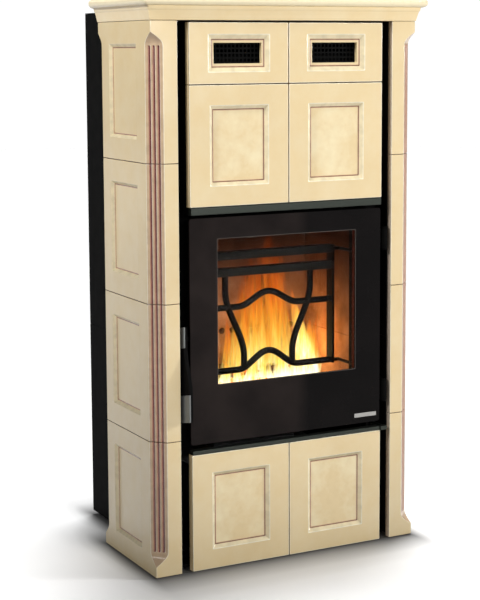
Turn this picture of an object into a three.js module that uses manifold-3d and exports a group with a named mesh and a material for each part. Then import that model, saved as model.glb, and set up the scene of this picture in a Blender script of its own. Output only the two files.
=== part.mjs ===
// A tall wood stove clad in glazed tiles. Millimetres, +Z up. The front looks along -Y.
// Working places count Y back from the front face of the pilasters. The last group moves the
// whole stove so that the origin lies on the floor under the middle of its box.

import * as THREE from 'three';
import { mergeVertices } from 'three/addons/utils/BufferGeometryUtils.js';
import Module from 'manifold-3d';

const wasm = await Module();
wasm.setup();

// ---- Driving dimensions ----

const fit = 0.3; // gap between pieces that touch
const sheet = 2; // steel sheet of the casing

// Plan of the whole stove
const bodyWidth = 632; // across both pilasters
const pilasterFace = 59.4; // how far a pilaster reaches in from the side
const pilasterDepth = 271; // front face to back edge
const recessWidth = 25.1; // black gap between a pilaster and the middle
const rearBay = 219; // casing behind the pilasters

// Heights of the middle stack, from the floor up
const floorGap = 2.5;
const squareTileHeight = 249.5;
const drawerRailHeight = 9;
const doorGap = 11.2;
const doorHeight = 474.5;
const doorReveal = 6.5;
const upperRailHeight = 15.9;
const tileJoint = 1.2;
const ventTileHeight = 125.8;
const corniceReveal = 3.8;

// Glazed tiles
const tileThickness = 16;
const panelWidth = 136; // sunk panel of a square tile, at the face
const panelHeight = 165;
const panelBevel = 8;
const panelDepth = 7;
const ventPanelWidth = 142;
const ventPanelHeight = 76.5;
const ventBevel = 10;
const ventHoleWidth = 111;
const ventHoleHeight = 42;

// Pilaster tiles
const courseCount = 4;
const plinthCourseHeight = 284; // the lowest tile, a little shorter than the rest
const courseJoint = 0.6;
const pilasterWall = 14;
const chamferLeg = 28;
const backChamferLeg = 20;
const stopMargin = 23; // plain corner above and below the chamfer
const stopHeight = 27; // pointed end of the chamfer
const fluteCount = 3;
const fluteRadius = 3.4;
const fluteLift = 0.6; // flute centre stands this far proud of the chamfer
const sidePanelWidth = 140;
const sidePanelHeight = 195;
const sidePanelBevel = 7;
const sidePanelShift = 3; // behind the middle of the flat

// Cornice
const corniceFascia = 20; // height of the sloping band
const corniceFoot = 1.5; // projections from the pilaster faces
const corniceBand = 6.5;
const corniceStep = 9; // height from the band to the bullnose
const corniceQuirk = 9.5;
const bullnoseRadius = 9.5;
const bullnoseReach = 21;
const corniceSlab = 14;

// Door
const glassThickness = 4;
const glassSetback = 4;
const glassCorner = 5;
const glassOverlap = 3; // glass stands this far past the frame behind it
const doorFrameDepth = 16;
const windowMargin = 64; // black glass beside the window
const windowHeight = 306;
const windowDrop = 45; // black glass above the window
const windowLap = 4; // window opening of the frame is this much larger on each side
const gasketWidth = 11.4;
const gasketGroove = 5;
const gasketCrush = 10.4;
const plateWidth = 56;
const plateHeight = 9;
const plateThickness = 1;
const plateInset = 9.5;
const plateRise = 13.5;

// Hinges on the right, handle on the left, both in the black gaps
const hingeSetback = 8;
const gapBias = 1; // hinges and handle sit this much nearer the middle of the stove
const hingePin = 4;
const hingeClearance = 0.5;
const knuckleRadius = 7.5;
const knuckleLength = 40;
const hingeInset = 48; // knuckle ends from the ends of the door
const earThickness = 5;
const earInset = 0.5; // ears are this much slimmer than the knuckles
const handleThickness = 8;
const handleShift = 2; // to the left of the middle of the gap
const handleSpine = 4;
const handleTop = 247; // above the bottom of the door
const handleLength = 201;
const handleNeck = 25; // depth of the upper end
const handleFoot = 49; // depth of the lower end
const handleSlant = 11; // rise of its ends from the back to the front of the foot
const handleBack = 23;
const handleCapHeight = 44;
const handleGripHeight = 58;
const spindleRadius = 6;
const spindleClearance = 0.35;
const spindleBelowTop = 23;
const spindleDepth = 8; // in the door frame
const tongueReach = 50;
const tongueHeight = 6;
const tongueBelowSpindle = 7;
const catchRadius = 3.7;
const catchGap = 0.6; // between the tongue and the catch
const catchSetback = 7; // catch in front of the end of the tongue
const catchPlate = 22;

// Log guard behind the glass
const guardMargin = 3.5; // between the guard and the edge of the window
const guardHeight = 269;
const guardDrop = 86; // from the top of the door
const guardSetback = 85;
const guardDepth = 26;
const guardBar = 17;
const guardSide = 6;
const guardRod = 7;
const guardSecondBar = 36;
const guardStud = 3.5;
const studInset = 1; // of a stud from the window opening of the frame
const upperWaveRise = 29;
const lowerWaveRise = 36;
const upperWaveHeight = 148; // above the bottom of the guard
const lowerWaveHeight = 10;
const waveHalf = 74;
const uprightTop = 105;
const uprightFoot = 60;
const uprightBendStart = 0.13; // shares of its height
const uprightBendLength = 0.65;

// Firebox
const mouthBesideWindow = 22.5;
const mouthBelowWindow = 70;
const mouthAboveWindow = 18;
const hearthSill = 14; // hearth above the foot of the mouth
const flangeWidth = 24;
const steelWall = 4;
const airGap = 20; // between the firebox and the casing
const bodyFront = 63.3;
const brickThickness = 24.7;
const backBrick = 30;
const floorBrick = 40;
const fireDepth = 223; // clear depth between the front of the firebox and the back bricks
const brickHeight = 435;
const lowerBrickHeight = 110.7;
const brickGroove = 1.6; // depth and width of the joint line cut in the side bricks
const airHoleRadius = 7;
const airHoleDrop = 1; // middle of each hole below the joint
const airHolePitch = 27;
const airHoleGroups = 3;
const airHoleSpread = 153;
const baffleThickness = 20;
const baffleFrontGap = 62;
const smokeHeight = 340; // smoke chamber above the bricks
const grateWidth = 220;
const grateDepth = 120;
const grateThickness = 10;
const grateSetback = 30; // behind the middle of the hearth
const grateDrop = 2; // below the hearth
const grateSlots = 9;
const slotWidth = 10;
const slotEnd = 12; // from the end of a slot to the edge of the grate
const grateSeat = 10; // ledge that the grate rests on
const chuteDrop = 80;

// Flue outlet and air inlet
const flueRadius = 75;
const flueWall = 2;
const flueSetback = 97; // middle of the flue behind the pilasters
const flueClearance = 5; // in the casing top
const flueRise = 66; // above the casing top
const flueFlange = 15;
const inletRadius = 40;
const inletWall = 2;
const inletZ = 200;
const inletReach = 25;
const inletFlange = 12;
const inletTail = 10; // inside the casing

// Casing
const footHeight = 10;
const footRadius = 18;
const footInset = 31;
const footFront = 60;
const footBack = 35;
const baseThickness = 4;
const baseSetback = 4; // behind the lower tiles
const casingJointZ = 458;
const casingTopRise = 24; // casing top above the foot of the cornice
const framePlane = 60; // deep plate of the front frame
const frameTopGap = 1;
const boxInset = 2; // of the shallow box behind the upper tiles
const neckClearance = 3; // round the neck of the firebox
const drawerSill = 8; // opening of the ash drawer above the base plate
const drawerLintel = 6; // and below the top of the drawer rail
const louvreCount = 9;
const louvreWidth = 8;
const louvreHeight = 120;
const louvrePitch = 34;

// Ash drawer
const trayMargin = 26.5; // in from each side of the middle
const trayBackGap = 87.4;
const trayRim = 30;
const runnerWidth = 20;
const runnerHeight = 15.4;
const panMargin = 25; // in from each side of the tray
const panDepth = 290;
const panHeight = 165;
const panFront = 75;
const drawerFrontSheet = 2;
const drawerFrontInset = 2;
const drawerFrontGap = 3; // below the tiles and above the rail

// Vent grilles
const grilleLap = 7;
const grilleSheet = 1.5;
const grilleColumns = 12;
const grilleRows = 4;
const grilleHole = 6;

// Combustion-air pull
const leverRadius = 4;
const leverLength = 130;
const leverTabWidth = 17;
const leverTabHeight = 8.4;
const leverTabDepth = 12;
const leverProud = 4; // tab in front of the tiles
const leverGap = 1; // between the tab and the rail
const leverRise = 0.2;

// ---- Places worked out from the dimensions ----

const halfBody = bodyWidth / 2;
const pilasterInner = halfBody - pilasterFace;
const middleHalf = pilasterInner - recessWidth;
const casingDepth = pilasterDepth + rearBay;
const casingHalf = pilasterInner - fit;
const insideHalf = casingHalf - sheet - fit;

const drawerRailZ = floorGap + squareTileHeight + fit;
const doorZ = drawerRailZ + drawerRailHeight + doorGap;
const doorTopZ = doorZ + doorHeight;
const upperRailZ = doorTopZ + doorReveal;
const upperTileZ = upperRailZ + upperRailHeight + fit;
const ventTileZ = upperTileZ + squareTileHeight + tileJoint;
const corniceZ = ventTileZ + ventTileHeight + corniceReveal;
const corniceHeight = corniceFascia + corniceStep + bullnoseRadius * 2;
const pilasterTopZ = corniceZ - fit;
const courseHeight = (pilasterTopZ - floorGap - plinthCourseHeight) / (courseCount - 1);

const tileBack = tileThickness + fit;
const baseZ = footHeight + fit;
const baseTopZ = baseZ + baseThickness;
const casingTopZ = corniceZ + casingTopRise;
const casingBackY = casingDepth - sheet;

const glassFront = glassSetback;
const glassBack = glassFront + glassThickness;
const doorFrameFront = glassBack + fit;
const doorFrameBack = doorFrameFront + doorFrameDepth;
const doorFrameHalf = middleHalf - glassOverlap;
const windowHalf = middleHalf - windowMargin;
const windowTopZ = doorTopZ - windowDrop;
const windowBottomZ = windowTopZ - windowHeight;
const mouthHalf = windowHalf + mouthBesideWindow;
const mouthBottomZ = windowBottomZ - mouthBelowWindow;
const mouthTopZ = windowTopZ + mouthAboveWindow;
const gasketInner = (flangeWidth - gasketWidth) / 2;
const gasketFront = doorFrameBack - gasketGroove + fit;
const flangeFront = gasketFront + gasketCrush + fit;
const gapMiddle = (middleHalf + pilasterInner) / 2 - gapBias;

const fireFront = bodyFront + steelWall;
const shellHalf = casingHalf - airGap;
const shellInner = shellHalf - steelWall;
const fireHalf = shellInner - fit - brickThickness;
const hearthZ = mouthBottomZ + hearthSill;
const shellFloorZ = hearthZ - floorBrick - fit;
const shellBottomZ = shellFloorZ - steelWall;
const fireBackY = fireFront + fireDepth;
const shellBackY = fireBackY + backBrick + fit;
const brickTopZ = shellFloorZ + fit + brickHeight;
const chamberTopZ = brickTopZ + smokeHeight;
const grateY = (fireFront + fireBackY) / 2 + grateSetback;
const flueY = pilasterDepth + flueSetback;
const chamberBackY = flueY + flueRadius + fit;

const handleX = -gapMiddle - handleShift;
const spindleY = (doorFrameFront + doorFrameBack) / 2;
const spindleZ = doorZ + handleTop - spindleBelowTop;
const tongueTopZ = spindleZ - tongueBelowSpindle;

const leverX = gapMiddle;
const leverZ = drawerRailZ + leverTabHeight / 2 + leverRise;
const leverTabLeft = leverX - leverTabWidth + leverRadius;

// ---- Materials ----

function finish(color, roughness, metalness) {
  return new THREE.MeshStandardMaterial({ color, roughness, metalness });
}

const creamGlaze = () => finish(0xe8d3a4, 0.22, 0);
const blackPaint = () => finish(0x1d1c1b, 0.55, 0.2);
const castIron = () => finish(0x232120, 0.75, 0.4);
const greyMetal = () => finish(0x7f8580, 0.4, 0.7);
const smokedGlass = () => finish(0x1b1513, 0.08, 0);
const fireBrick = () => finish(0xc08a55, 0.9, 0);
const ropeSeal = () => finish(0x3a3835, 0.95, 0);
const bareSteel = () => finish(0x6d6f70, 0.45, 0.8);

// ---- Solids ----

const spare = 1; // how far a cutting tool runs past the face that it cuts
const overlap = 1; // how far joined solids run into each other

function toSolid(geometry) {
  const plain = geometry.clone();
  plain.deleteAttribute('normal');
  plain.deleteAttribute('uv');
  const merged = mergeVertices(plain, 1e-4);
  return new wasm.Manifold(new wasm.Mesh({
    numProp: 3,
    vertProperties: Float32Array.from(merged.attributes.position.array),
    triVerts: Uint32Array.from(merged.index.array),
  }));
}

function toGeometry(solid) {
  const mesh = solid.getMesh();
  const geometry = new THREE.BufferGeometry();
  geometry.setAttribute('position', new THREE.BufferAttribute(mesh.vertProperties, 3));
  geometry.setIndex(new THREE.BufferAttribute(mesh.triVerts, 1));
  geometry.computeVertexNormals();
  return geometry;
}

function join(...solids) {
  return solids.reduce((whole, solid) => whole.add(solid));
}

function cut(solid, ...tools) {
  return tools.reduce((left, tool) => left.subtract(tool), solid);
}

function block(x0, x1, y0, y1, z0, z1) {
  const geometry = new THREE.BoxGeometry(x1 - x0, y1 - y0, z1 - z0);
  geometry.translate((x0 + x1) / 2, (y0 + y1) / 2, (z0 + z1) / 2);
  return toSolid(geometry);
}

function shapeOf(points) {
  return new THREE.Shape(points.map(([u, v]) => new THREE.Vector2(u, v)));
}

function extruded(shape, depth) {
  return new THREE.ExtrudeGeometry(shape, { depth, bevelEnabled: false, curveSegments: 6 });
}

// An outline in X and Y, standing from z0 to z1
function standing(points, z0, z1) {
  const geometry = extruded(shapeOf(points), z1 - z0);
  geometry.translate(0, 0, z0);
  return toSolid(geometry);
}

// An outline in Y and Z, lying from x0 to x1
function across(points, x0, x1) {
  const geometry = extruded(shapeOf(points), x1 - x0);
  geometry.applyMatrix4(new THREE.Matrix4().set(0, 0, 1, x0, 1, 0, 0, 0, 0, 1, 0, 0, 0, 0, 0, 1));
  return toSolid(geometry);
}

function rodAlong(axis, radius, length, sides = 20) {
  const geometry = new THREE.CylinderGeometry(radius, radius, length, sides);
  if (axis === 'x') {
    geometry.rotateZ(-Math.PI / 2);
  }
  if (axis === 'z') {
    geometry.rotateX(Math.PI / 2);
  }
  return geometry;
}

function rod(axis, radius, from, to, a, b, sides) {
  const geometry = rodAlong(axis, radius, to - from, sides);
  const middle = (from + to) / 2;
  const place = { x: [middle, a, b], y: [a, middle, b], z: [a, b, middle] }[axis];
  geometry.translate(...place);
  return toSolid(geometry);
}

// Rectangles stacked in layers, each [x0, x1, y0, y1, z], with flat ends
function stacked(layers) {
  const corners = layers.flatMap(([x0, x1, y0, y1, z]) => [x0, y0, z, x1, y0, z, x1, y1, z, x0, y1, z]);
  const faces = [0, 2, 1, 0, 3, 2];
  for (let layer = 0; layer < layers.length - 1; layer += 1) {
    for (let side = 0; side < 4; side += 1) {
      const a = layer * 4 + side;
      const b = layer * 4 + (side + 1) % 4;
      faces.push(a, b, b + 4, a, b + 4, a + 4);
    }
  }
  const top = (layers.length - 1) * 4;
  faces.push(top, top + 1, top + 2, top, top + 2, top + 3);
  const geometry = new THREE.BufferGeometry();
  geometry.setAttribute('position', new THREE.Float32BufferAttribute(corners, 3));
  geometry.setIndex(faces);
  return geometry;
}

// A shallow panel to sink into a face that looks along -Y at y = 0, centred on x and z
function sunkPanel(width, height, bevel, depth, x, z) {
  const flare = bevel * spare / depth;
  const wide = [width / 2 + flare, height / 2 + flare];
  const narrow = [width / 2 - bevel, height / 2 - bevel];
  const geometry = stacked([
    [-narrow[0], narrow[0], -narrow[1], narrow[1], -depth],
    [-wide[0], wide[0], -wide[1], wide[1], spare],
  ]);
  geometry.rotateX(Math.PI / 2);
  geometry.translate(x, 0, z);
  return geometry;
}

function mirrored(geometry) {
  const copy = geometry.clone();
  copy.scale(-1, 1, 1);
  const index = copy.index.array;
  for (let corner = 0; corner < index.length; corner += 3) {
    [index[corner], index[corner + 1]] = [index[corner + 1], index[corner]];
  }
  copy.computeVertexNormals();
  return copy;
}

const stove = new THREE.Group();
const door = new THREE.Group();
const handle = new THREE.Group();
const drawer = new THREE.Group();
stove.add(door, drawer);
door.add(handle);

function addPiece(name, shape, material, place = [0, 0, 0], parent = stove) {
  const geometry = shape.isBufferGeometry ? shape : toGeometry(shape);
  const mesh = new THREE.Mesh(geometry, material);
  mesh.name = name;
  mesh.position.set(...place);
  parent.add(mesh);
}

// ---- Pilaster tiles ----

// Depth of the chamfer, square to its face, that fades to a point at the ends asked for
function chamferOutline(depth, height, stopsBelow, stopsAbove) {
  const steps = 6;
  const outside = -40;
  const outline = [];
  const rise = (step) => depth * Math.cos(step / steps * Math.PI / 2);
  if (stopsBelow) {
    for (let step = steps; step > 0; step -= 1) {
      outline.push([rise(step), stopMargin + stopHeight * (1 - step / steps)]);
    }
    outline.push([depth, stopMargin + stopHeight]);
  } else {
    outline.push([depth, -spare]);
  }
  if (stopsAbove) {
    outline.push([depth, height - stopMargin - stopHeight]);
    for (let step = 1; step <= steps; step += 1) {
      outline.push([rise(step), height - stopMargin - stopHeight * (1 - step / steps)]);
    }
  } else {
    outline.push([depth, height + spare]);
  }
  const low = outline[0][1];
  const high = outline[outline.length - 1][1];
  return [[outside, low], ...outline, [outside, high]];
}

// Cuts a chamfer off the upright corner at x, y. The turn is the way into the corner, in plan.
function chamferTool(x, y, turn, leg, height, stopsBelow, stopsAbove) {
  const reach = 60;
  const outline = chamferOutline(leg / Math.SQRT2, height, stopsBelow, stopsAbove);
  const geometry = extruded(shapeOf(outline), reach * 2);
  geometry.translate(0, 0, -reach);
  geometry.rotateX(Math.PI / 2);
  geometry.rotateZ(turn);
  geometry.translate(x, y, 0);
  return toSolid(geometry);
}

// A round-ended groove, standing from low to high
function fluteTool(x, y, low, high) {
  const slope = Math.SQRT1_2 * fluteRadius;
  const outline = [
    [0, low - fluteRadius],
    [slope, low - slope],
    [fluteRadius, low],
    [fluteRadius, high],
    [slope, high + slope],
    [0, high + fluteRadius],
  ];
  const geometry = new THREE.LatheGeometry(outline.map(([u, v]) => new THREE.Vector2(u, v)), 8);
  geometry.rotateX(Math.PI / 2);
  geometry.translate(x, y, 0);
  return toSolid(geometry);
}

// The right-hand tile. It wraps the front, the chamfered corner, the side and the back.
function pilasterTile(height, isLowest, isHighest) {
  const outer = halfBody;
  const wall = pilasterWall;
  const innerLeg = chamferLeg + wall * Math.SQRT2 - wall * 2;
  const shell = standing([
    [pilasterInner, 0],
    [outer, 0],
    [outer, pilasterDepth],
    [pilasterInner, pilasterDepth],
    [pilasterInner, pilasterDepth - wall],
    [outer - wall - innerLeg, pilasterDepth - wall],
    [outer - wall, pilasterDepth - wall - innerLeg],
    [outer - wall, wall + innerLeg],
    [outer - wall - innerLeg, wall],
    [pilasterInner, wall],
  ], 0, height);

  const intoFront = Math.PI * 3 / 4;
  const intoBack = -Math.PI * 3 / 4;
  const tools = [
    chamferTool(outer, 0, intoFront, chamferLeg, height, isLowest, isHighest),
    chamferTool(outer, pilasterDepth, intoBack, backChamferLeg, height, isLowest, isHighest),
  ];

  const endSpare = fluteRadius * 2;
  const low = isLowest ? stopMargin + stopHeight + fluteRadius : -endSpare;
  const high = isHighest ? height - stopMargin - stopHeight - fluteRadius : height + endSpare;
  for (let flute = 1; flute <= fluteCount; flute += 1) {
    const share = flute / (fluteCount + 1);
    const x = outer - chamferLeg * (1 - share) + fluteLift * Math.SQRT1_2;
    const y = chamferLeg * share - fluteLift * Math.SQRT1_2;
    tools.push(fluteTool(x, y, low, high));
  }

  const flatMiddle = (chamferLeg + pilasterDepth - backChamferLeg) / 2 + sidePanelShift;
  const panel = sunkPanel(sidePanelWidth, sidePanelHeight, sidePanelBevel, panelDepth, 0, 0);
  panel.rotateZ(Math.PI / 2);
  panel.translate(outer, flatMiddle, height / 2);
  tools.push(toSolid(panel));
  return toGeometry(cut(shell, ...tools));
}

for (let course = 0; course < courseCount; course += 1) {
  const isLowest = course === 0;
  const isHighest = course === courseCount - 1;
  const pitch = isLowest ? plinthCourseHeight : courseHeight;
  const height = isHighest ? pitch : pitch - courseJoint;
  const z = isLowest ? floorGap : floorGap + plinthCourseHeight + courseHeight * (course - 1);
  const tile = pilasterTile(height, isLowest, isHighest);
  addPiece(`pilaster_right_${course + 1}`, tile, creamGlaze(), [0, 0, z]);
  addPiece(`pilaster_left_${course + 1}`, mirrored(tile), creamGlaze(), [0, 0, z]);
}

// ---- Cornice ----

function corniceProfile() {
  const steps = 8;
  const noseFoot = corniceHeight - bullnoseRadius * 2;
  const profile = [[corniceFoot, 0], [corniceBand, corniceFascia], [corniceQuirk, noseFoot]];
  for (let step = 0; step <= steps; step += 1) {
    const angle = -Math.PI / 2 + step / steps * Math.PI;
    const reach = bullnoseReach - bullnoseRadius * (1 - Math.cos(angle));
    profile.push([reach, noseFoot + bullnoseRadius * (1 + Math.sin(angle))]);
  }
  return profile;
}

function cornice() {
  const layers = corniceProfile().map(([reach, z]) => (
    [-halfBody - reach, halfBody + reach, -reach, pilasterDepth, z]
  ));
  const rim = pilasterWall;
  const hollow = block(
    -halfBody + rim, halfBody - rim, rim, pilasterDepth - rim, -spare, corniceHeight - corniceSlab,
  );
  return cut(toSolid(stacked(layers)), hollow);
}

addPiece('cornice', cornice(), creamGlaze(), [0, 0, corniceZ]);

// ---- Tiles of the middle ----

const middleTileWidth = middleHalf - tileJoint / 2;
const leftTileX = -middleHalf + middleTileWidth / 2;

function squareTile() {
  const half = middleTileWidth / 2;
  const body = block(-half, half, 0, tileThickness, 0, squareTileHeight);
  const panel = sunkPanel(panelWidth, panelHeight, panelBevel, panelDepth, 0, squareTileHeight / 2);
  return cut(body, toSolid(panel));
}

function ventTile() {
  const half = middleTileWidth / 2;
  const middle = ventTileHeight / 2;
  const hole = [ventHoleWidth / 2, ventHoleHeight / 2];
  const body = block(-half, half, 0, tileThickness, 0, ventTileHeight);
  const panel = sunkPanel(ventPanelWidth, ventPanelHeight, ventBevel, panelDepth, 0, middle);
  const opening = block(
    -hole[0], hole[0], -spare, tileThickness + spare, middle - hole[1], middle + hole[1],
  );
  return cut(body, toSolid(panel), opening);
}

for (const [side, x] of [['left', leftTileX], ['right', -leftTileX]]) {
  addPiece(`upper_tile_${side}`, squareTile(), creamGlaze(), [x, 0, upperTileZ]);
  addPiece(`vent_tile_${side}`, ventTile(), creamGlaze(), [x, 0, ventTileZ]);
  addPiece(`lower_tile_${side}`, squareTile(), creamGlaze(), [x, 0, floorGap], drawer);
}

// ---- Vent grilles ----

function ventGrille() {
  const half = [ventHoleWidth / 2 + grilleLap, ventHoleHeight / 2 + grilleLap];
  const pitchX = (ventHoleWidth - grilleHole / 2) / grilleColumns;
  const pitchZ = (ventHoleHeight - grilleHole / 2) / grilleRows;
  let plate = block(-half[0], half[0], 0, grilleSheet, -half[1], half[1]);
  for (let row = 0; row < grilleRows; row += 1) {
    for (let column = 0; column < grilleColumns; column += 1) {
      const x = (column - (grilleColumns - 1) / 2) * pitchX;
      const z = (row - (grilleRows - 1) / 2) * pitchZ;
      const size = grilleHole / 2;
      plate = cut(plate, block(
        x - size, x + size, -spare, grilleSheet + spare, z - size, z + size,
      ));
    }
  }
  return plate;
}

const grilleY = tileBack + sheet + fit;
const ventMiddleZ = ventTileZ + ventTileHeight / 2;
addPiece('vent_grille_left', ventGrille(), blackPaint(), [leftTileX, grilleY, ventMiddleZ]);
addPiece('vent_grille_right', ventGrille(), blackPaint(), [-leftTileX, grilleY, ventMiddleZ]);

// ---- Metal rails under the upper tiles and over the lower ones ----

const railInset = 2;
const railProud = 1.5;

function rail(left, right, height) {
  const nose = 1.2;
  const outline = [
    [-railProud + nose, 0],
    [tileThickness, 0],
    [tileThickness, height],
    [-railProud + nose, height],
    [-railProud, height - nose],
    [-railProud, nose],
  ];
  return across(outline, left, right);
}

const upperRail = rail(-middleHalf + railInset, middleHalf - railInset, upperRailHeight);
const drawerRail = rail(-middleHalf + railInset, leverTabLeft - leverGap, drawerRailHeight);
addPiece('upper_rail', upperRail, greyMetal(), [0, 0, upperRailZ]);
addPiece('drawer_rail', drawerRail, greyMetal(), [0, 0, drawerRailZ], drawer);

// ---- Casing ----

function foot() {
  return toSolid(rodAlong('z', footRadius, footHeight, 24));
}

for (const [side, x] of [['left', -1], ['right', 1]]) {
  const footX = x * (casingHalf - footInset);
  addPiece(`foot_front_${side}`, foot(), blackPaint(), [footX, footFront, footHeight / 2]);
  addPiece(`foot_rear_${side}`, foot(), blackPaint(), [footX, casingDepth - footBack, footHeight / 2]);
}

const basePlate = block(
  -insideHalf, insideHalf, tileBack + baseSetback, casingBackY - fit, baseZ, baseTopZ,
);
addPiece('base_plate', basePlate, blackPaint());

const casingFrontY = pilasterWall;
const corniceBackY = pilasterDepth + fit;

function casingSide(outline) {
  return toGeometry(across(outline, casingHalf - sheet, casingHalf));
}

const lowerSide = casingSide([
  [casingFrontY, baseZ],
  [casingDepth, baseZ],
  [casingDepth, casingJointZ - fit],
  [casingFrontY, casingJointZ - fit],
]);
const upperSide = casingSide([
  [casingFrontY, casingJointZ + fit],
  [casingDepth, casingJointZ + fit],
  [casingDepth, casingTopZ - sheet - fit],
  [corniceBackY, casingTopZ - sheet - fit],
  [corniceBackY, pilasterTopZ],
  [casingFrontY, pilasterTopZ],
]);
addPiece('casing_lower_right', lowerSide, blackPaint());
addPiece('casing_lower_left', mirrored(lowerSide), blackPaint());
addPiece('casing_upper_right', upperSide, blackPaint());
addPiece('casing_upper_left', mirrored(upperSide), blackPaint());

function casingBack() {
  const top = casingTopZ - sheet - fit;
  let plate = block(-insideHalf, insideHalf, casingBackY, casingDepth, baseZ, top);
  const inletHole = rod(
    'y', inletRadius + fit, casingBackY - spare, casingDepth + spare, 0, inletZ, 32,
  );
  plate = cut(plate, inletHole);
  for (const rowZ of [casingJointZ, top - louvreHeight * 2]) {
    for (let louvre = 0; louvre < louvreCount; louvre += 1) {
      const x = (louvre - (louvreCount - 1) / 2) * louvrePitch;
      const half = louvreWidth / 2;
      const slot = block(
        x - half, x + half, casingBackY - spare, casingDepth + spare, rowZ, rowZ + louvreHeight,
      );
      plate = cut(plate, slot);
    }
  }
  return plate;
}

addPiece('casing_back', casingBack(), blackPaint());

function casingTop() {
  const under = casingTopZ - sheet;
  const plate = block(-casingHalf, casingHalf, corniceBackY, casingDepth, under, casingTopZ);
  const hole = rod('z', flueRadius + flueClearance, under - spare, casingTopZ + spare, 0, flueY, 40);
  return cut(plate, hole);
}

addPiece('casing_top', casingTop(), blackPaint());

function airInlet() {
  const start = casingDepth + fit;
  const end = casingDepth + inletReach;
  const tail = casingBackY - inletTail;
  const tube = rod('y', inletRadius, tail, end, 0, inletZ, 32);
  const flange = rod('y', inletRadius + inletFlange, start, start + inletWall, 0, inletZ, 32);
  const bore = rod('y', inletRadius - inletWall, tail - spare, end + spare, 0, inletZ, 32);
  return cut(join(tube, flange), bore);
}

addPiece('air_inlet', airInlet(), bareSteel());

// ---- Front frame: a deep plate with a shallow box in front that carries the upper tiles ----

function frontFrame() {
  const plateBottom = baseTopZ + fit;
  const plateTop = pilasterTopZ - frameTopGap;
  const boxHalf = middleHalf - boxInset;
  const boxBottom = upperRailZ + boxInset;
  const boxTop = corniceZ - corniceReveal - frameTopGap;
  const neckRoom = steelWall + neckClearance;
  const through = [framePlane - spare, framePlane + sheet + spare];
  const plate = block(-insideHalf, insideHalf, framePlane, framePlane + sheet, plateBottom, plateTop);
  const box = block(-boxHalf, boxHalf, tileBack, framePlane + sheet / 2, boxBottom, boxTop);
  const hollow = block(
    -boxHalf + sheet, boxHalf - sheet, tileBack + sheet, framePlane, boxBottom + sheet, boxTop - sheet,
  );
  const doorHole = block(
    -mouthHalf - neckRoom, mouthHalf + neckRoom, ...through,
    mouthBottomZ - neckRoom, mouthTopZ + neckRoom,
  );
  const drawerHole = block(
    -middleHalf, middleHalf, ...through,
    baseTopZ + drawerSill, drawerRailZ + drawerRailHeight - drawerLintel,
  );
  const leverHole = rod('y', leverRadius + fit, ...through, leverX, leverZ, 20);
  const ventHoles = [leftTileX, -leftTileX].map((x) => block(
    x - ventHoleWidth / 2, x + ventHoleWidth / 2, tileBack - spare, through[1],
    ventMiddleZ - ventHoleHeight / 2, ventMiddleZ + ventHoleHeight / 2,
  ));
  return cut(join(plate, box), hollow, doorHole, drawerHole, leverHole, ...ventHoles);
}

addPiece('front_frame', frontFrame(), blackPaint());

// ---- Firebox body ----

const smokeBoxZ = brickTopZ + baffleThickness;

function fireboxShell() {
  const inner = shellInner;
  const neckOuter = mouthHalf + steelWall;
  const flangeOuter = mouthHalf + flangeWidth;
  const outside = join(
    block(-shellHalf, shellHalf, bodyFront, shellBackY + steelWall, shellBottomZ, smokeBoxZ),
    block(
      -neckOuter, neckOuter, flangeFront, fireFront,
      mouthBottomZ - steelWall, mouthTopZ + steelWall,
    ),
    block(
      -flangeOuter, flangeOuter, flangeFront, flangeFront + steelWall,
      mouthBottomZ - flangeWidth, mouthTopZ + flangeWidth,
    ),
  );
  const inside = block(-inner, inner, fireFront, shellBackY, shellFloorZ, smokeBoxZ + spare);
  const mouth = block(
    -mouthHalf, mouthHalf, flangeFront - spare, fireFront + spare, mouthBottomZ, mouthTopZ,
  );
  const ashHole = block(
    -grateWidth / 2 + grateSeat, grateWidth / 2 - grateSeat,
    grateY - grateDepth / 2 + grateSeat, grateY + grateDepth / 2 - grateSeat,
    shellBottomZ - spare, shellFloorZ + spare,
  );
  return cut(outside, inside, mouth, ashHole);
}

// The box over the fire reaches further back than the fire, to the flue
function smokeBox() {
  const inner = shellInner;
  const bottom = smokeBoxZ + fit;
  const floor = bottom + steelWall;
  const outside = block(
    -shellHalf, shellHalf, bodyFront, chamberBackY, bottom, chamberTopZ + steelWall,
  );
  const inside = block(-inner, inner, fireFront, chamberBackY - steelWall, floor, chamberTopZ);
  const throat = block(-inner, inner, fireFront, shellBackY, bottom - spare, floor + spare);
  const flueHole = rod(
    'z', flueRadius - flueWall, chamberTopZ - spare, chamberTopZ + steelWall + spare, 0, flueY, 40,
  );
  return cut(outside, inside, throat, flueHole);
}

addPiece('firebox_shell', fireboxShell(), castIron());
addPiece('smoke_box', smokeBox(), castIron());

function flueCollar() {
  const foot0 = chamberTopZ + steelWall + fit;
  const top = casingTopZ + flueRise;
  const tube = rod('z', flueRadius, foot0, top, 0, flueY, 40);
  const flange = rod('z', flueRadius + flueFlange, foot0, foot0 + steelWall, 0, flueY, 40);
  const bore = rod('z', flueRadius - flueWall, foot0 - spare, top + spare, 0, flueY, 40);
  return cut(join(tube, flange), bore);
}

addPiece('flue_collar', flueCollar(), castIron());

// ---- Fire bricks, grate and baffle ----

const brickFront = fireFront + fit;
const brickBack = shellBackY - fit;
const brickBottom = shellFloorZ + fit;

const backHalf = fireHalf - fit;
const lowerBackTop = hearthZ + fit + lowerBrickHeight;

const sideBrick = toGeometry(cut(
  block(fireHalf, shellInner - fit, brickFront, brickBack, brickBottom, brickTopZ),
  block(
    fireHalf - spare, fireHalf + brickGroove, brickFront - spare, brickBack + spare,
    lowerBackTop - brickGroove / 2, lowerBackTop + brickGroove / 2,
  ),
));
addPiece('brick_right', sideBrick, fireBrick());
addPiece('brick_left', mirrored(sideBrick), fireBrick());

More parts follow.
